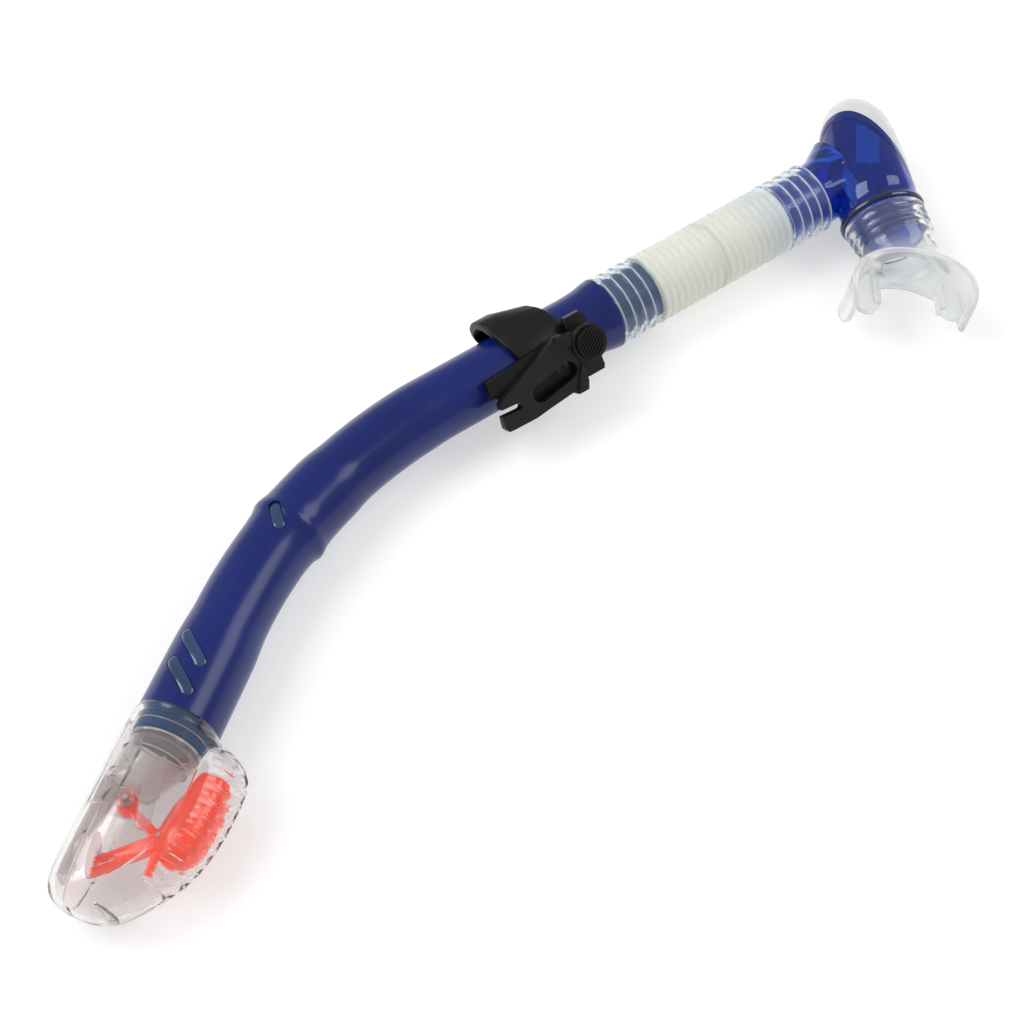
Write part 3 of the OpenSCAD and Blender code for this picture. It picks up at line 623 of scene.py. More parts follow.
# (u, lowest v, highest v, half thickness, v where it is thickest)
DUCT_SECTIONS = [(11, -12.6, 12.6, 12.6, 0), (15, -13, 10.6, 12.4, -0.6),
                 (20, -13.4, 7.6, 12.0, -2), (25, -13.8, 4.6, 11.2, -4),
                 (28, -13.9, 2.2, 10.2, -5.4), (29.6, -13.9, -8.2, 8.8, -11.2),
                 (40, -13.9, -10, 7.9, -12), (62, -13.9, -10, 6.4, -12),
                 (66, -13.2, -10.6, 5, -12)]
DUCT_RINGS = (16.2, 25.6)       # raised rings round the funnel
SEAT_V, PORT_U, PORT_R = -9.8, 53.4, 5.6
DUCT_END = 66
EAR_Z, EAR_HALF_T, EAR_R = 5.4, 0.9, 3
BOSS_R, EYELET_HOLE_R = 1.75, 1.05
ROCKER_HOLE_R, HUB_HOLE_R = 1.9, 1.1    # round the duct's bosses, and round the float's pin


def duct_loft(name, inset, end):
    """The funnel and the flat duct behind it, its surface moved in by inset."""
    rows = []
    for u in steps(11, end, 150):
        low, high, half, thick = smooth_table(DUCT_SECTIONS, u)
        ring = max(0.0, 1 - min(abs(u - r) for r in DUCT_RINGS) / 0.75) if inset == 0 else 0.0
        rows.append(oval_row(u, low, high, half, inset - 0.7 * ring, 64, thick))
    return solid(name, *skin(rows))


def upright(obj, u, v):
    """Turns something made along Z so that it stands along v at a place in the top's frame."""
    return moved(obj, shift(u, v) @ turn("X", -90))


def inner_strip():
    """A thin bar that stiffens the funnel, from the collar down beside the float's hub."""
    outline = capsule(42, 5.4, 10, (23.5, 3.6), 12)
    return soften(prism(outline, 9.4, 10.6), 0.3)


def make_duct():
    duct = duct_loft("air_duct_neck", 0.0, DUCT_END)
    add(duct, spun("tool", [(-6, 0.01), (-6, BORE_R - 0.1), (9.1, BORE_R - 0.1), (9.1, 12.8),
                            (11.1, 12.8), (11.1, 0.01)], 96))
    add(duct, upright(drum(0, 0, -1.4, 0, PORT_R + 1.6), PORT_U, SEAT_V))
    for side in (-1, 1):
        low, high = side * EAR_Z - EAR_HALF_T, side * EAR_Z + EAR_HALF_T
        ear = drum(*PIVOT, low, high, EAR_R)
        add(ear, block((PIVOT[0] - EAR_R, PIVOT[1] - 7.4, low),
                       (PIVOT[0] + EAR_R, PIVOT[1], high)))
        add(duct, ear)
        boss = sorted((side * 1.0, side * 5.0))
        add(duct, drum(*PIVOT, *boss, BOSS_R, 32))
    add(duct, inner_strip())
    combine(duct, duct_loft("tool", 1.0, 64.8))
    combine(duct, round_bar(-7, 13, BORE_R - 1.4))
    combine(duct, upright(drum(0, 0, -3, 1, PORT_R), PORT_U, SEAT_V))
    combine(duct, drum(*PIVOT, -8, 8, EYELET_HOLE_R, 32))
    piece(duct, TOP, "tube", CLEAR_DUCT, ["air_duct"])


def arm_between(a, b, width, thick):
    """A flat bar from one point of the top's plane to another."""
    a, b = Vector(a), Vector(b)
    across = Vector((a.y - b.y, b.x - a.x)).normalized() * (thick / 2)
    outline = [tuple(a - across), tuple(b - across), tuple(b + across), tuple(a + across)]
    return prism(outline, -width / 2, width / 2)


FLAP_AT = (54.0, -5.6)
FLAP_TURN = shift(*FLAP_AT) @ turn("Z", 99)
PADDLE_END = (58.6, -4.6)
PADDLE_SLOT = (55.4, -1.6)


def make_rocker():
    rocker = drum(*PIVOT, -2.5, 2.5, 3.8, name="float_rocker_arms")
    arm_start = tuple(Vector(PIVOT) + (Vector(HUB) - Vector(PIVOT)) * 0.15)
    add(rocker, arm_between(arm_start, HUB, 4.2, 3.0))
    add(rocker, drum(*HUB, -3, 3, 3.1))
    add(rocker, arm_between(HUB, PADDLE_END, 4.0, 5.2))
    add(rocker, drum(*PADDLE_END, -2, 2, 2.6))
    add(rocker, arm_between(HUB, (HUB[0] + 12.4, HUB[1] + 1.0), 2.6, 2.6))
    combine(rocker, drum(*PIVOT, -9, 9, ROCKER_HOLE_R, 32))
    combine(rocker, drum(*HUB, -9, 9, HUB_HOLE_R, 32))
    run = math.degrees(math.atan2(PADDLE_END[1] - HUB[1], PADDLE_END[0] - HUB[0]))
    combine(rocker, prism(capsule(9.0, 2.2, 10, PADDLE_SLOT, run), -9, 9))
    # the paddle is flat where the flap lies against it
    combine(rocker, moved(block((-14, -10, -9), (0.45, 10, 9)), FLAP_TURN))
    soften(rocker, 0.4, 3)
    piece(rocker, TOP, "rocker", GLOWING_ORANGE, ["float_rocker"])


FLOAT_TIP, FLOAT_ANGLE, FLOAT_LEN = (50.0, 19.0), 176.0, 34.5
FLOAT_R, FLOAT_NOSE, FLOAT_END_R = 9.0, 12.0, 6.0
FLOAT_WALL = 1.4
FLOAT_EAR_Z, FLOAT_EAR_R = 4.3, 2.6


def float_radius(s):
    """The float's radius at s mm from its round nose."""
    if s < FLOAT_NOSE:
        return FLOAT_R * math.sqrt(max(0.0, 1 - (1 - s / FLOAT_NOSE) ** 2))
    share = (s - FLOAT_NOSE) / (FLOAT_LEN - FLOAT_NOSE)
    return FLOAT_R - (FLOAT_R - FLOAT_END_R) * share**2


def make_float():
    profile = [(s, max(0.02, float_radius(s))) for s in steps(0, FLOAT_LEN, 40)]
    end = [(FLOAT_LEN, FLOAT_END_R - FLOAT_WALL), (16, FLOAT_END_R - FLOAT_WALL), (15.5, 0.02)]
    body = spun("float_bulb", profile + end, 72)
    moved(body, shift(*FLOAT_TIP) @ turn("Z", FLOAT_ANGLE))
    for side in (-1, 1):
        low, high = side * FLOAT_EAR_Z - EAR_HALF_T, side * FLOAT_EAR_Z + EAR_HALF_T
        ear = drum(*HUB, low, high, FLOAT_EAR_R)
        add(ear, block((HUB[0] - 3, HUB[1], low),
                       (HUB[0] + FLOAT_EAR_R, HUB[1] + 6, high)))
        add(body, ear)
    combine(body, drum(*HUB, -3.3, 3.3, 3.4))
    combine(body, block((HUB[0] - 2, HUB[1] - 3, -3.3), (HUB[0] + 12, HUB[1] + 3.6, 3.3)))
    combine(body, drum(*HUB, -8, 8, HUB_HOLE_R, 32))
    soften(body, 0.25)
    piece(body, TOP, "rocker", GLOWING_ORANGE, ["float"])


def make_flap():
    profile = [(-0.8, 0.02), (-0.8, 7.6), (-0.5, 8.0), (-0.1, 7.9), (0.3, 6.6), (0.55, 2.6),
               (1.2, 1.6), (4.6, 1.3), (5.0, 0.9), (5.0, 0.02)]
    flap = spun("seal_flap_disc", profile, 64)
    moved(flap, FLAP_TURN)
    piece(flap, TOP, "rocker", FLAP, ["seal_flap"])


# ---------- keeper ----------

CLIP_BORE_R = 13.07
# Round the tube from the back lip over the top and down the front:
# (angle from the outside of the bend, inner radius, outer radius, left end, right end)
CLIP = [(-4, 14.2, 16.4, -59.0, -47.5), (6, 16.2, 18.9, -60.5, -46.5),
        (18, 17.6, 20.6, -61.0, -45.0), (32, 18.0, 21.0, -61.0, -43.0),
        (46, 17.3, 20.6, -60.8, -40.5), (60, 15.4, 19.0, -60.2, -38.6),
        (72, 13.6, 16.9, -59.6, -37.2), (84, CLIP_BORE_R, 15.9, -59.0, -36.0),
        (110, CLIP_BORE_R, 15.8, -57.6, -35.2), (150, CLIP_BORE_R, 15.8, -55.0, -35.2),
        (200, CLIP_BORE_R, 15.8, -52.6, -36.5), (240, CLIP_BORE_R, 15.4, -51.5, -39),
        (262, CLIP_BORE_R, 14.4, -51.0, -40)]
# How much lower the hood is at its hose end, by the same angle
HOOD_DROP = [(-4, 0.6), (10, 2.4), (32, 3.2), (55, 2.4), (76, 0.0), (262, 0.0)]
HOOD_LEAST_R = 15.2
# The flat part on the front of the clip and its cross bar, which both begin at FLANGE_Z
FLANGE_Z = 15.2
FLANGE = [(-74, 3.6), (-74.4, -1.6), (-70.8, -5.6), (-63.4, -10.8), (-55, -13.6), (-36.2, -13.6),
          (-27.5, -13.6), (-27.5, 5.2), (-43.5, 6.1), (-67.4, 4.2)]
CROSS_BAR = [(-36.2, -12.2), (-34.8, -13.6), (-28.2, -13.6), (-27, -12.4), (-27, 9.4),
             (-28.6, 11), (-35, 11), (-36.2, 9.6)]
# The rail under the flange: (distance along the tube, share of its full width)
RAIL = [(-74, 0.72), (-64, 0.82), (-48, 1.1), (-28, 1.1)]
RAIL_SECTION = [(-5.0, 13.4), (4.6, 13.4), (4.0, 18.0), (-4.4, 18.0)]


def make_clip():
    rows = []
    for angle in steps(-4, 262, 132):
        low, high, left, right = smooth_table(CLIP, angle)
        a = math.radians(angle)
        out = Vector((0, math.cos(a), math.sin(a)))
        drop = smooth_table(HOOD_DROP, angle)[0]
        ridge = left + (right - left) * 0.36
        near_low = max(CLIP_BORE_R, low - drop)
        near_high = max(HOOD_LEAST_R if drop else high, high - drop)
        rows.append([out * low + Vector((left, 0, 0)), out * high + Vector((left, 0, 0)),
                     out * high + Vector((ridge, 0, 0)), out * near_high + Vector((right, 0, 0)),
                     out * near_low + Vector((right, 0, 0)), out * low + Vector((ridge, 0, 0))])
    clip = solid("keeper_clip_body", *skin(rows))
    soften(clip, 0.5, 3, 40)
    moved(clip, turn("X", -KEEPER_TURN))
    rail = solid("tool", *skin([[Vector((x, y * share, z)) for y, z in RAIL_SECTION]
                                for x, share in RAIL]))
    combine(rail, round_bar(-80, -37, CLIP_BORE_R))
    add(rail, prism(CROSS_BAR, FLANGE_Z, 18.2))
    add(rail, prism(FLANGE, FLANGE_Z, 18.1))
    add(rail, drum(POST_X, 0, 17, 21.9, 2.4))
    combine(rail, block((-38.5, -20, 0), (20, 20, FLANGE_Z)))
    soften(rail, 0.45, 3)
    join(clip, rail)
    piece(clip, KEEPER, "keeper", BLACK, ["keeper_clip"])


PLATE_Z, PLATE_T, PLATE_DROP = 18.4, 4.2, 4.2
SLOT_LEN, SLOT_W, SLOT_END = 21.0, 7.0, 8.8
TIP_SLOT, TIP_SLOT_W, TIP_SLOT_TURN = (-36.2, -2.6), 2.6, -14.0
PLATE_OUTLINE = [(0, 7), (-4.9, 6.8), (-8, 9.4), (-10.6, 9.9), (-12.5, 9), (-22.6, 6.5),
                 (-31.4, 4.9), (-40.2, 3.2), (-42, 2.2), (-43.6, -2.1), (-45.2, -6.4),
                 (-44.6, -8.2), (-42.8, -8.7), (-32.8, -10.8), (-26.4, -11.2), (-21, -11.7),
                 (-15.5, -12.2), (-13.7, -14.3), (-9.6, -15), (-7.4, -11.8), (-6.5, -3)]
# Raised walls between the hub and the slot
PLATE_WALLS = [
    [(-3.5, 5.6), (-5, 6.6), (-8, 9.2), (-10.4, 9.6), (-11.2, 8.2), (-8.4, 4.4), (-6.4, 3.2)],
    [(-6.6, -5), (-8.4, -6.6), (-13.4, -12.4), (-13.2, -14), (-9.8, -14.6), (-7.8, -11.6)]]
HUB_R, WELL_R, POST_HOLE_R = 7.2, 6.05, 2.45


def make_plate():
    plate = prism(PLATE_OUTLINE, PLATE_Z, PLATE_Z + PLATE_T, name="strap_plate_body")
    # the slot that the mask's strap runs through
    slot = capsule(SLOT_LEN, SLOT_W, 14, (-(SLOT_END + SLOT_LEN / 2), -PLATE_DROP))
    combine(plate, prism(slot, 10, 30))
    # teeth that grip the strap, at the slot's inner end
    for x in (-SLOT_END - 3.2, -SLOT_END - 6.8):
        add(plate, prism([(x - 1.3, -0.5), (x, -2.6), (x + 1.3, -0.5)],
                         PLATE_Z, PLATE_Z + PLATE_T))
    tip = prism(capsule(16, TIP_SLOT_W, 10, (-8 + TIP_SLOT_W / 2, 0)), 10, 30)
    combine(plate, moved(tip, shift(*TIP_SLOT) @ turn("Z", TIP_SLOT_TURN)))
    add(plate, drum(0, 0, PLATE_Z, PLATE_Z + 6.2, HUB_R, 64))
    for wall in PLATE_WALLS:
        add(plate, prism(wall, PLATE_Z + 2, PLATE_Z + 5.4))
    combine(plate, drum(0, 0, PLATE_Z - 1, PLATE_Z + 10, POST_HOLE_R))
    combine(plate, drum(0, 0, PLATE_Z + 1.5, PLATE_Z + 10, WELL_R, 64))
    soften(plate, 0.45, 3)
    piece(plate, PLATE, "plate", PLATE_BLACK, ["strap_plate"])


BUTTON_Z, BUTTON_T, BUTTON_R = 23.2, 2.6, 5.9


def make_button():
    button = drum(0, 0, BUTTON_Z, BUTTON_Z + BUTTON_T, BUTTON_R, 64, name="release_button_pad")
    for k in range(-4, 5):
        y = k * 1.2
        half = math.sqrt((BUTTON_R - 0.5) ** 2 - y * y)
        top = BUTTON_Z + BUTTON_T
        rib = block((-half, y - 0.33, top - 0.3), (half, y + 0.33, top + 0.55))
        add(button, rib)
    soften(button, 0.18)
    piece(button, PLATE @ turn("Z", 25), "button", BLACK, ["release_button"])


SPRING_Z, SPRING_RISE, SPRING_TURNS = 20.25, 2.6, 2.5
SPRING_R, WIRE_R = 4, 0.25


def make_spring():
    rows = []
    for i in range(121):
        a = 2 * math.pi * SPRING_TURNS * i / 120
        z = SPRING_Z + SPRING_RISE * i / 120
        rows.append([Vector(((SPRING_R + WIRE_R * math.cos(t)) * math.cos(a),
                             (SPRING_R + WIRE_R * math.cos(t)) * math.sin(a),
                             z + WIRE_R * math.sin(t))) for t in circle(10)])
    spring = solid("button_spring_coil", *skin(rows))
    piece(spring, PLATE, None, STEEL, ["button_spring"])
    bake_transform(spring)


# ---------- hose ----------

CUFF, HOSE_RIBS_N, RING_PITCH = 20.0, 20, 4.6
HOSE_SPLIT = 51.5           # the hose's two halves meet here, from its tube end


def hose_wave(x):
    """0 in the valley between two ribs, 1 on top of a rib."""
    pitch = (HOSE_LEN - 2 * CUFF) / HOSE_RIBS_N
    return 0.5 - 0.5 * math.cos(2 * math.pi * (x - CUFF) / pitch)


def hose_profile(start, end):
    """Outer radius along the hose from its tube end: rings on the cuffs, ribs between them."""
    out = []
    for x in steps(start, end, int((end - start) / 0.2)):
        edge = min(x, HOSE_LEN - x)
        if edge < CUFF:
            to_ring = abs((edge - 1.4) % RING_PITCH - RING_PITCH / 2)   # 0 between two rings
            r = HOSE_R - 0.75 + 0.75 * max(0.0, (to_ring - 1.5) / 0.8) ** 0.7
            r -= 0.5 * max(0.0, 1 - edge / 0.8) ** 2
        else:
            r = HOSE_R - 0.95 + 0.8 * hose_wave(x) ** 0.6
        out.append((x, r))
    return out


def hose_inside(x):
    """Inner radius: smooth round the spigots, wavy between them."""
    depth = min(x, HOSE_LEN - x)
    if depth < SPIGOT_LEN + 0.5:
        return SPIGOT_R + 0.1
    return 11.0 + 0.9 * hose_wave(x)


def make_hose_half(name, start, end):
    outer = hose_profile(start, end)
    inner = [(x, hose_inside(x)) for x in reversed(steps(start, end, int((end - start) / 0.4)))]
    half = spun(name, outer + inner, 96)
    paint(half, (HOSE_CLEAR, HOSE_RIBS, HOSE_RING),
          lambda at: 1 if CUFF < at.x < HOSE_LEN - CUFF
          else 2 if math.hypot(at.y, at.z) > HOSE_R - 0.3 else 0)
    piece(half, HOSE @ shift(-SHOULDER_S), None, HOSE_CLEAR,
          ["corrugated_hose"], crease=60)
    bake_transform(half)


# ---------- purge chamber ----------

# (y, half width, half thickness, drift towards +X)
CHAMBER_SECTIONS = [(1.2, 16.2, 14.2, 0), (3.4, 16.2, 14.2, 0), (10, 16.3, 15.6, 0.5),
                    (22, 16.3, 16.8, 1.5), (34, 16, 17, 2.5), (44, 15, 16.2, 3.2),
                    (51, 12.6, 13.6, 3.6), (56.8, 8.8, 9.4, 3.9), (59.3, 5.6, 6.0, 4.0),
                    (60.2, 2.6, 2.9, 4.0)]
CHAMBER_WALL = 2.0
INLET_R, INLET_BORE_R = 12.6, 9.5
# The outlet's tube and the ring round it: (y, half width, half thickness)
OUTLET_TUBE = [(-12, 13.0, 10.0), (-11.6, 13.4, 10.4), (4.5, 13.4, 10.4)]
OUTLET_RING = [(0, 17.0, 13.7), (0.25, 17.5, 14.2), (0.8, 17.8, 14.5), (1.8, 17.8, 14.5),
               (2.35, 17.5, 14.2), (2.6, 17.0, 13.7)]
OUTLET_BORE = [(-13, 11.4, 8.4), (4.6, 11.4, 8.4)]


def barrel(name, inset, start, end):
    """The chamber's body with its domed end, its surface moved in by inset."""
    rows = []
    for y in steps(start, end, 56):
        width, thick, drift = smooth_table(CHAMBER_SECTIONS, y)
        width, thick = width - inset, thick - inset
        rows.append([Vector((drift + width * math.cos(a), y, thick * math.sin(a)))
                     for a in circle(96)])
    return solid(name, *skin(rows))


def oval_stub(sections):
    """A straight oval through (y, half width, half thickness), leaning with the mouthpiece."""
    rows = [[Vector((width * math.cos(a), y, thick * math.sin(a))) for a in circle(96)]
            for y, width, thick in sections]
    return moved(solid("tool", *skin(rows)), turn("Z", MOUTH_LEAN))


def past_seam(out):
    """Everything beyond the slanting seam between barrel and cover, moved out along it."""
    tool = moved(block((-60, -60, out), (60, 60, 120)), PURGE_LOCAL)
    return combine(tool, block((-60, 4.2 + out, -60), (60, 120, 60)), "INTERSECT")


HOSE_IN_CHAMBER = turn("Z", OUTLET_LEAN) @ shift(-OUTLET[0], -OUTLET[1])
HOSE_END = HOSE_LEN - SHOULDER_S        # the hose's far end, from the hose joint


def make_inlet():
    """The inlet and the spigot that the hose is pushed over."""
    start, end = HOSE_END - SPIGOT_LEN, HOSE_END + 18
    profile = [(start, 0.01), (start, SPIGOT_R - 0.4), (start + 0.5, SPIGOT_R),
               (HOSE_END - 0.2, SPIGOT_R), (HOSE_END, 12.4), (HOSE_END + 0.3, INLET_R),
               (end, INLET_R), (end, 0.01)]
    return moved(spun("tool", profile, 96), HOSE_IN_CHAMBER)


def make_chamber():
    chamber = barrel("purge_chamber_barrel", 0.0, 1.2, 60.2)
    add(chamber, oval_stub(OUTLET_TUBE))
    add(chamber, oval_stub(OUTLET_RING))
    add(chamber, make_inlet())
    add(chamber, inlet_flare())
    combine(chamber, barrel("tool", CHAMBER_WALL, 3.4, 56.8))
    combine(chamber, past_seam(-GAP))
    combine(chamber, seam_groove())
    combine(chamber, oval_stub(OUTLET_BORE))
    combine(chamber, moved(round_bar(HOSE_END - SPIGOT_LEN - 1, HOSE_END + 17, INLET_BORE_R),
                           HOSE_IN_CHAMBER))
    soften(chamber, 0.3, 2, 40)

    def on_ring(at):
        at = turn("Z", -MOUTH_LEAN) @ at
        return -0.1 < at.y < 2.75 and math.hypot(at.x / 16.4, at.z / 13.2) > 1

    # painted shade: the thick ring round the outlet is given a near-black blue, for how dark it
    # looks
    paint(chamber, (CHAMBER_BLUE, RIM_SHADE_BLUE), on_ring)
    piece(chamber, CHAMBER, "chamber", CHAMBER_BLUE, ["purge_chamber"])


def inlet_flare():
    """The inlet widens on its outer side where it runs into the barrel."""
    rows = []
    for x in steps(0.6, 15.0, 14):
        grow = smooth_table([(0.6, 0.0), (5, 0.5), (10, 2.2), (15, 4.2)], x)[0]
        rows.append([Vector((HOSE_END + x, grow + (INLET_R + grow * 0.5) * math.cos(a),
                             (INLET_R + grow * 0.2) * math.sin(a))) for a in circle(96)])
    return moved(solid("tool", *skin(rows)), HOSE_IN_CHAMBER)


def seam_groove():
    """A fine line let into the barrel just below its cover."""
    ring = barrel("tool", -1.0, 0.8, 60.6)
    combine(ring, barrel("tool", 0.35, 0.5, 60.8))
    band = moved(block((-60, -60, -3.4), (60, 60, -2.9)), PURGE_LOCAL)
    return combine(ring, band, "INTERSECT")


def make_cover():
    cover = barrel("purge_cover_dome", 0.0, 1.2, 60.2)
    combine(cover, past_seam(GAP), "INTERSECT")
    inside = barrel("tool", CHAMBER_WALL, 3.4, 57.5)
    combine(inside, moved(block((-60, -60, -1), (60, 60, 120)), PURGE_LOCAL), "INTERSECT")
    combine(cover, inside)
    for y in (-15, -9, 9, 15):
        vent = soften(block((4, y - 1.5, 2.4), (30, y + 1.5, 4.4)), 0.6, 2)
        combine(cover, moved(vent, PURGE_LOCAL))
    soften(cover, 0.35, 2, 40)
    piece(cover, CHAMBER, "chamber", COVER_WHITE, ["purge_cover"])


def make_baffle():
    baffle = soften(block((0, 0, 0), (1.2, 11, 12.6), name="purge_baffle_plate"), 0.3)
    moved(baffle, shift(-6.4, 14, -6.3) @ turn("Z", 12))
    # the baffle gets the glowing pale blue, painted light
    piece(baffle, CHAMBER, "chamber", GLOWING_PALE_BLUE, ["purge_baffle"])


# A raised pad on the seat's inner face, drawn across the valve's axis
SEAT_PAD = [(-14.8, 15.8), (-18.5, 7.4), (-6.2, 0.8), (-1.5, 9.2)]


def make_seat():
    seat = barrel("purge_seat_plate", CHAMBER_WALL + 0.1, 3.4, 57.4)
    combine(seat, moved(block((-60, -60, -2.2), (60, 60, -0.2)), PURGE_LOCAL), "INTERSECT")
    for k in range(6):
        a = math.radians(60 * k)
        hole = drum(6.2 * math.cos(a), 6.2 * math.sin(a), -4, 4, 2.4, 32)
        combine(seat, moved(hole, PURGE_LOCAL))
    combine(seat, moved(drum(0, 0, -4, 4, 1.6, 32), PURGE_LOCAL))
    soften(seat, 0.2)
    pad = moved(prism(SEAT_PAD, -3.4, -2.3), PURGE_LOCAL)
    combine(pad, barrel("tool", CHAMBER_WALL + 0.3, 3.4, 57.2), "INTERSECT")
    join(seat, soften(pad, 0.5, 4))
    to_purge = PURGE_LOCAL.inverted()
    # the raised pad gets the glowing pale blue, painted light
    paint(seat, (SEAT_BLUE, GLOWING_PALE_BLUE), lambda at: (to_purge @ at).z < -2.25)
    piece(seat, CHAMBER, "chamber", SEAT_BLUE, ["purge_seat"])


def make_valve():
    profile = [(-5.6, 0.02), (-5.6, 1.0), (-5.0, 1.4), (-3.4, 1.4), (-3.3, 1.5), (0.1, 1.5),
               (0.12, 8.4), (0.05, 9.6), (0.3, 10.0), (0.6, 9.4), (0.8, 6.0), (1.0, 1.0),
               (1.0, 0.02)]
    valve = moved(spun("purge_valve_disc", profile, 64), turn("Y", -90))
    piece(valve, PURGE, "valve", FLAP, ["purge_valve"])


# ---------- mouthpiece ----------

SHIELD_HALF_W, SHIELD_HALF_H, SHIELD_MID_Y, SHIELD_DEPTH = 22.5, 14.5, -43.0, 16.0
SHIELD_WRAP = math.radians(112)
MOUTH_BORE_HALF_W = 12


def bulge(value, power):
    """A power that keeps the sign."""
    return math.copysign(abs(value) ** power, value) if abs(value) > 0.001 else 0.0


def neck_bent(p):
    """A point past the collar, turned with the shield about the neck."""
    q = turn("Y", MOUTH_TWIST) @ Vector((p[0], p[1] - NECK_Y, p[2]))
    q = turn("Z", MOUTH_TURN) @ q
    return Vector((q.x, q.y + NECK_Y, q.z))


def on_shield(angle, height, lift):
    """A point on the shield's curved sheet, lifted off its inner side."""
    nx, ny = SHIELD_DEPTH * math.sin(angle), SHIELD_HALF_W * math.cos(angle)
    n = math.hypot(nx, ny)
    return (SHIELD_HALF_W * math.sin(angle) + lift * nx / n,
            SHIELD_MID_Y + SHIELD_DEPTH * math.cos(angle) + lift * ny / n, height)


def mouth_ring(a):
    """The silicone's outline at one angle round the bore, from the collar out and back."""
    c, s = math.cos(a), math.sin(a)
    bore_turn = math.asin(MOUTH_BORE_HALF_W / SHIELD_HALF_W)

    def oval(w, h, y):
        return Vector((w * c, y, h * s))

    def on(t, lift):
        return neck_bent(on_shield(
            (1 - t) * bore_turn * c + t * SHIELD_WRAP * bulge(c, 0.8),
            (1 - t) * 8.6 * s + t * (SHIELD_HALF_H - 3 + 3 * abs(c)) * bulge(s, 0.5), lift))

    collar = [(16.0, 13.0, -0.4), (16.9, 13.9, -0.8), (17.1, 14.1, -1.4), (16.9, 13.9, -2.0),
              (15.9, 12.9, -2.6), (15.8, 12.8, -3.8), (16.7, 13.7, -4.4), (16.8, 13.8, -5.0),
              (16.6, 13.6, -5.6), (15.6, 12.6, -6.2), (15.5, 12.5, -7.5), (16.4, 13.4, -8.1),
              (16.5, 13.5, -8.7), (16.3, 13.3, -9.3), (15.2, 12.2, -9.9), (15.1, 12.1, -11.2),
              (15.9, 12.9, -11.8), (15.9, 12.9, -12.5), (15.0, 12.1, -13.2), (14.8, 11.9, -14.6),
              (14.4, 11.5, -16.0), (14.0, 11.2, -17.4)]
    ring = [oval(*item) for item in collar]
    ring += [on(0.12, 4.6), on(0.22, 3.2), on(0.36, 2.7), on(0.55, 2.4), on(0.74, 2.2),
             on(0.9, 2.1), on(0.965, 2.5), on(0.995, 2.1), on(1.0, 1.2), on(0.985, 0.3),
             on(0.94, 0.0), on(0.8, 0.0), on(0.6, 0.0), on(0.4, 0.0), on(0.2, 0.0), on(0.06, -0.1),
             on(0.0, 0.5)]
    bore = [(10.8, 8.0, -23.0), (11.0, 8.2, -20.0), (11.3, 8.4, -16.5), (11.6, 8.6, -13.4),
            (13.5, 10.5, -12.5), (13.5, 10.5, -9), (13.5, 10.5, -5), (13.5, 10.5, -1.0),
            (13.8, 10.8, -0.4)]
    return ring + [oval(*item) for item in bore]


def make_mouthpiece():
    rows = [mouth_ring(a) for a in circle(112)]
    mouth = solid("mouthpiece_silicone", *skin(rows, wrap=True))
    to_neck = shift(0, NECK_Y) @ turn("Z", MOUTH_TURN) @ turn("Y", MOUTH_TWIST)
    for side in (-1, 1):
        tab = prism(capsule(19, 9, 10, (side * 16.4, -22.0), 90 + side * 5), -1.5, 1.5)
        soften(tab, 0.9, 3)
        lug = prism(capsule(13, 2.8, 8, (side * 12.8, -21.5), 90), -3.1, 3.1)
        soften(lug, 0.9, 3)
        add(tab, lug)
        add(mouth, moved(tab, to_neck))
    piece(mouth, MOUTH, "chamber", SILICONE, ["mouthpiece"], crease=60)


# ---------- everything ----------

make_tube()
make_windows()
make_dry_top()
make_duct()
make_rocker()
make_float()
make_flap()
make_clip()
make_plate()
make_button()
make_spring()
make_hose_half("hose_tube_half", 0.0, HOSE_SPLIT)
make_hose_half("hose_chamber_half", HOSE_SPLIT, HOSE_LEN)
make_chamber()
make_cover()
make_baffle()
make_seat()
make_valve()
make_mouthpiece()

# these CAD nodes are fine as they are, and only get a better material
for name, mat in (("spigot_o_ring", FLAP), ("eyelet_pin", STEEL), ("float_pin", STEEL)):
    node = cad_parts[name]
    node.data.materials.clear()
    node.data.materials.append(mat)

# ---------- floor, lights and camera ----------

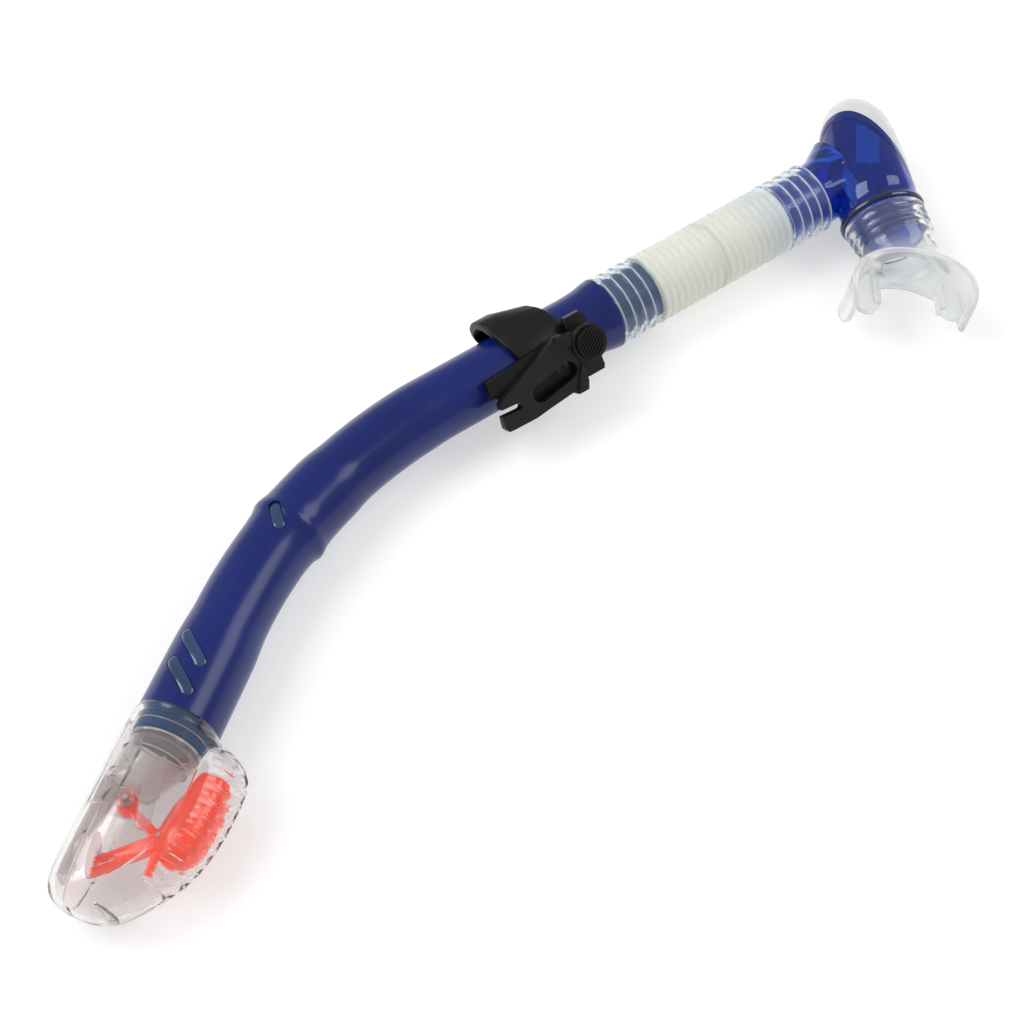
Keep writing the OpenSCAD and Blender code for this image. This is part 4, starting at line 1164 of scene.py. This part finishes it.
floor_mat = bpy.data.materials.new("floor")
floor_mat.use_nodes = True
# lit a little from below, like a light table, so that shadows stay pale
set_sockets(floor_mat.node_tree.nodes["Principled BSDF"], {
    "Base Color": (0.56, 0.56, 0.56, 1), "Roughness": 0.95, "Specular IOR Level": 0.0,
    "Emission Color": (1.0, 1.0, 1.0, 1), "Emission Strength": 0.5})

FLOOR_HALF = 12.0       # half a side, in metres
floor = solid("floor", [(x * FLOOR_HALF, y * FLOOR_HALF, 0)
                        for x, y in ((-1, -1), (1, -1), (1, 1), (-1, 1))], [(0, 1, 2, 3)])
floor.data.materials.append(floor_mat)

world = bpy.data.worlds.new("studio")
bpy.context.scene.world = world
world.use_nodes = True
set_sockets(world.node_tree.nodes["Background"],
            {"Color": (1.0, 1.0, 1.0, 1), "Strength": 0.55})


def aim(obj, target):
    """Turns a light or the camera towards a point."""
    obj.rotation_euler = (Vector(target) - obj.location).to_track_quat("-Z", "Y").to_euler()


def softbox(name, at, size, power):
    data = bpy.data.lights.new(name, "AREA")
    data.shape, data.size, data.energy = "SQUARE", size, power
    light = put_in_scene(name, data)
    light.location = at
    aim(light, (0, 0, 0))


softbox("key", (-1.0, 0.9, 1.7), 1.3, 26)
softbox("fill", (1.4, -0.4, 1.3), 1.0, 10)

# The camera looks down at 57 degrees from the horizontal, from the inner side of the bend
VIEW_AZIMUTH, VIEW_ELEVATION, VIEW_DISTANCE = -34.8, 57.0, 0.8371
look_at = HOSE @ Vector((-92.9, -54.9, 0))
azimuth, elevation = math.radians(VIEW_AZIMUTH), math.radians(VIEW_ELEVATION)
to_camera = Vector((math.sin(azimuth) * math.cos(elevation),
                    -math.cos(azimuth) * math.cos(elevation), math.sin(elevation)))
lens = bpy.data.cameras.new("camera")
lens.lens, lens.sensor_width = 80.9, 36.0
camera = put_in_scene("camera", lens)
camera.location = look_at + to_camera * VIEW_DISTANCE
aim(camera, look_at)
bpy.context.scene.camera = camera
bpy.context.scene.view_settings.view_transform = "Standard"
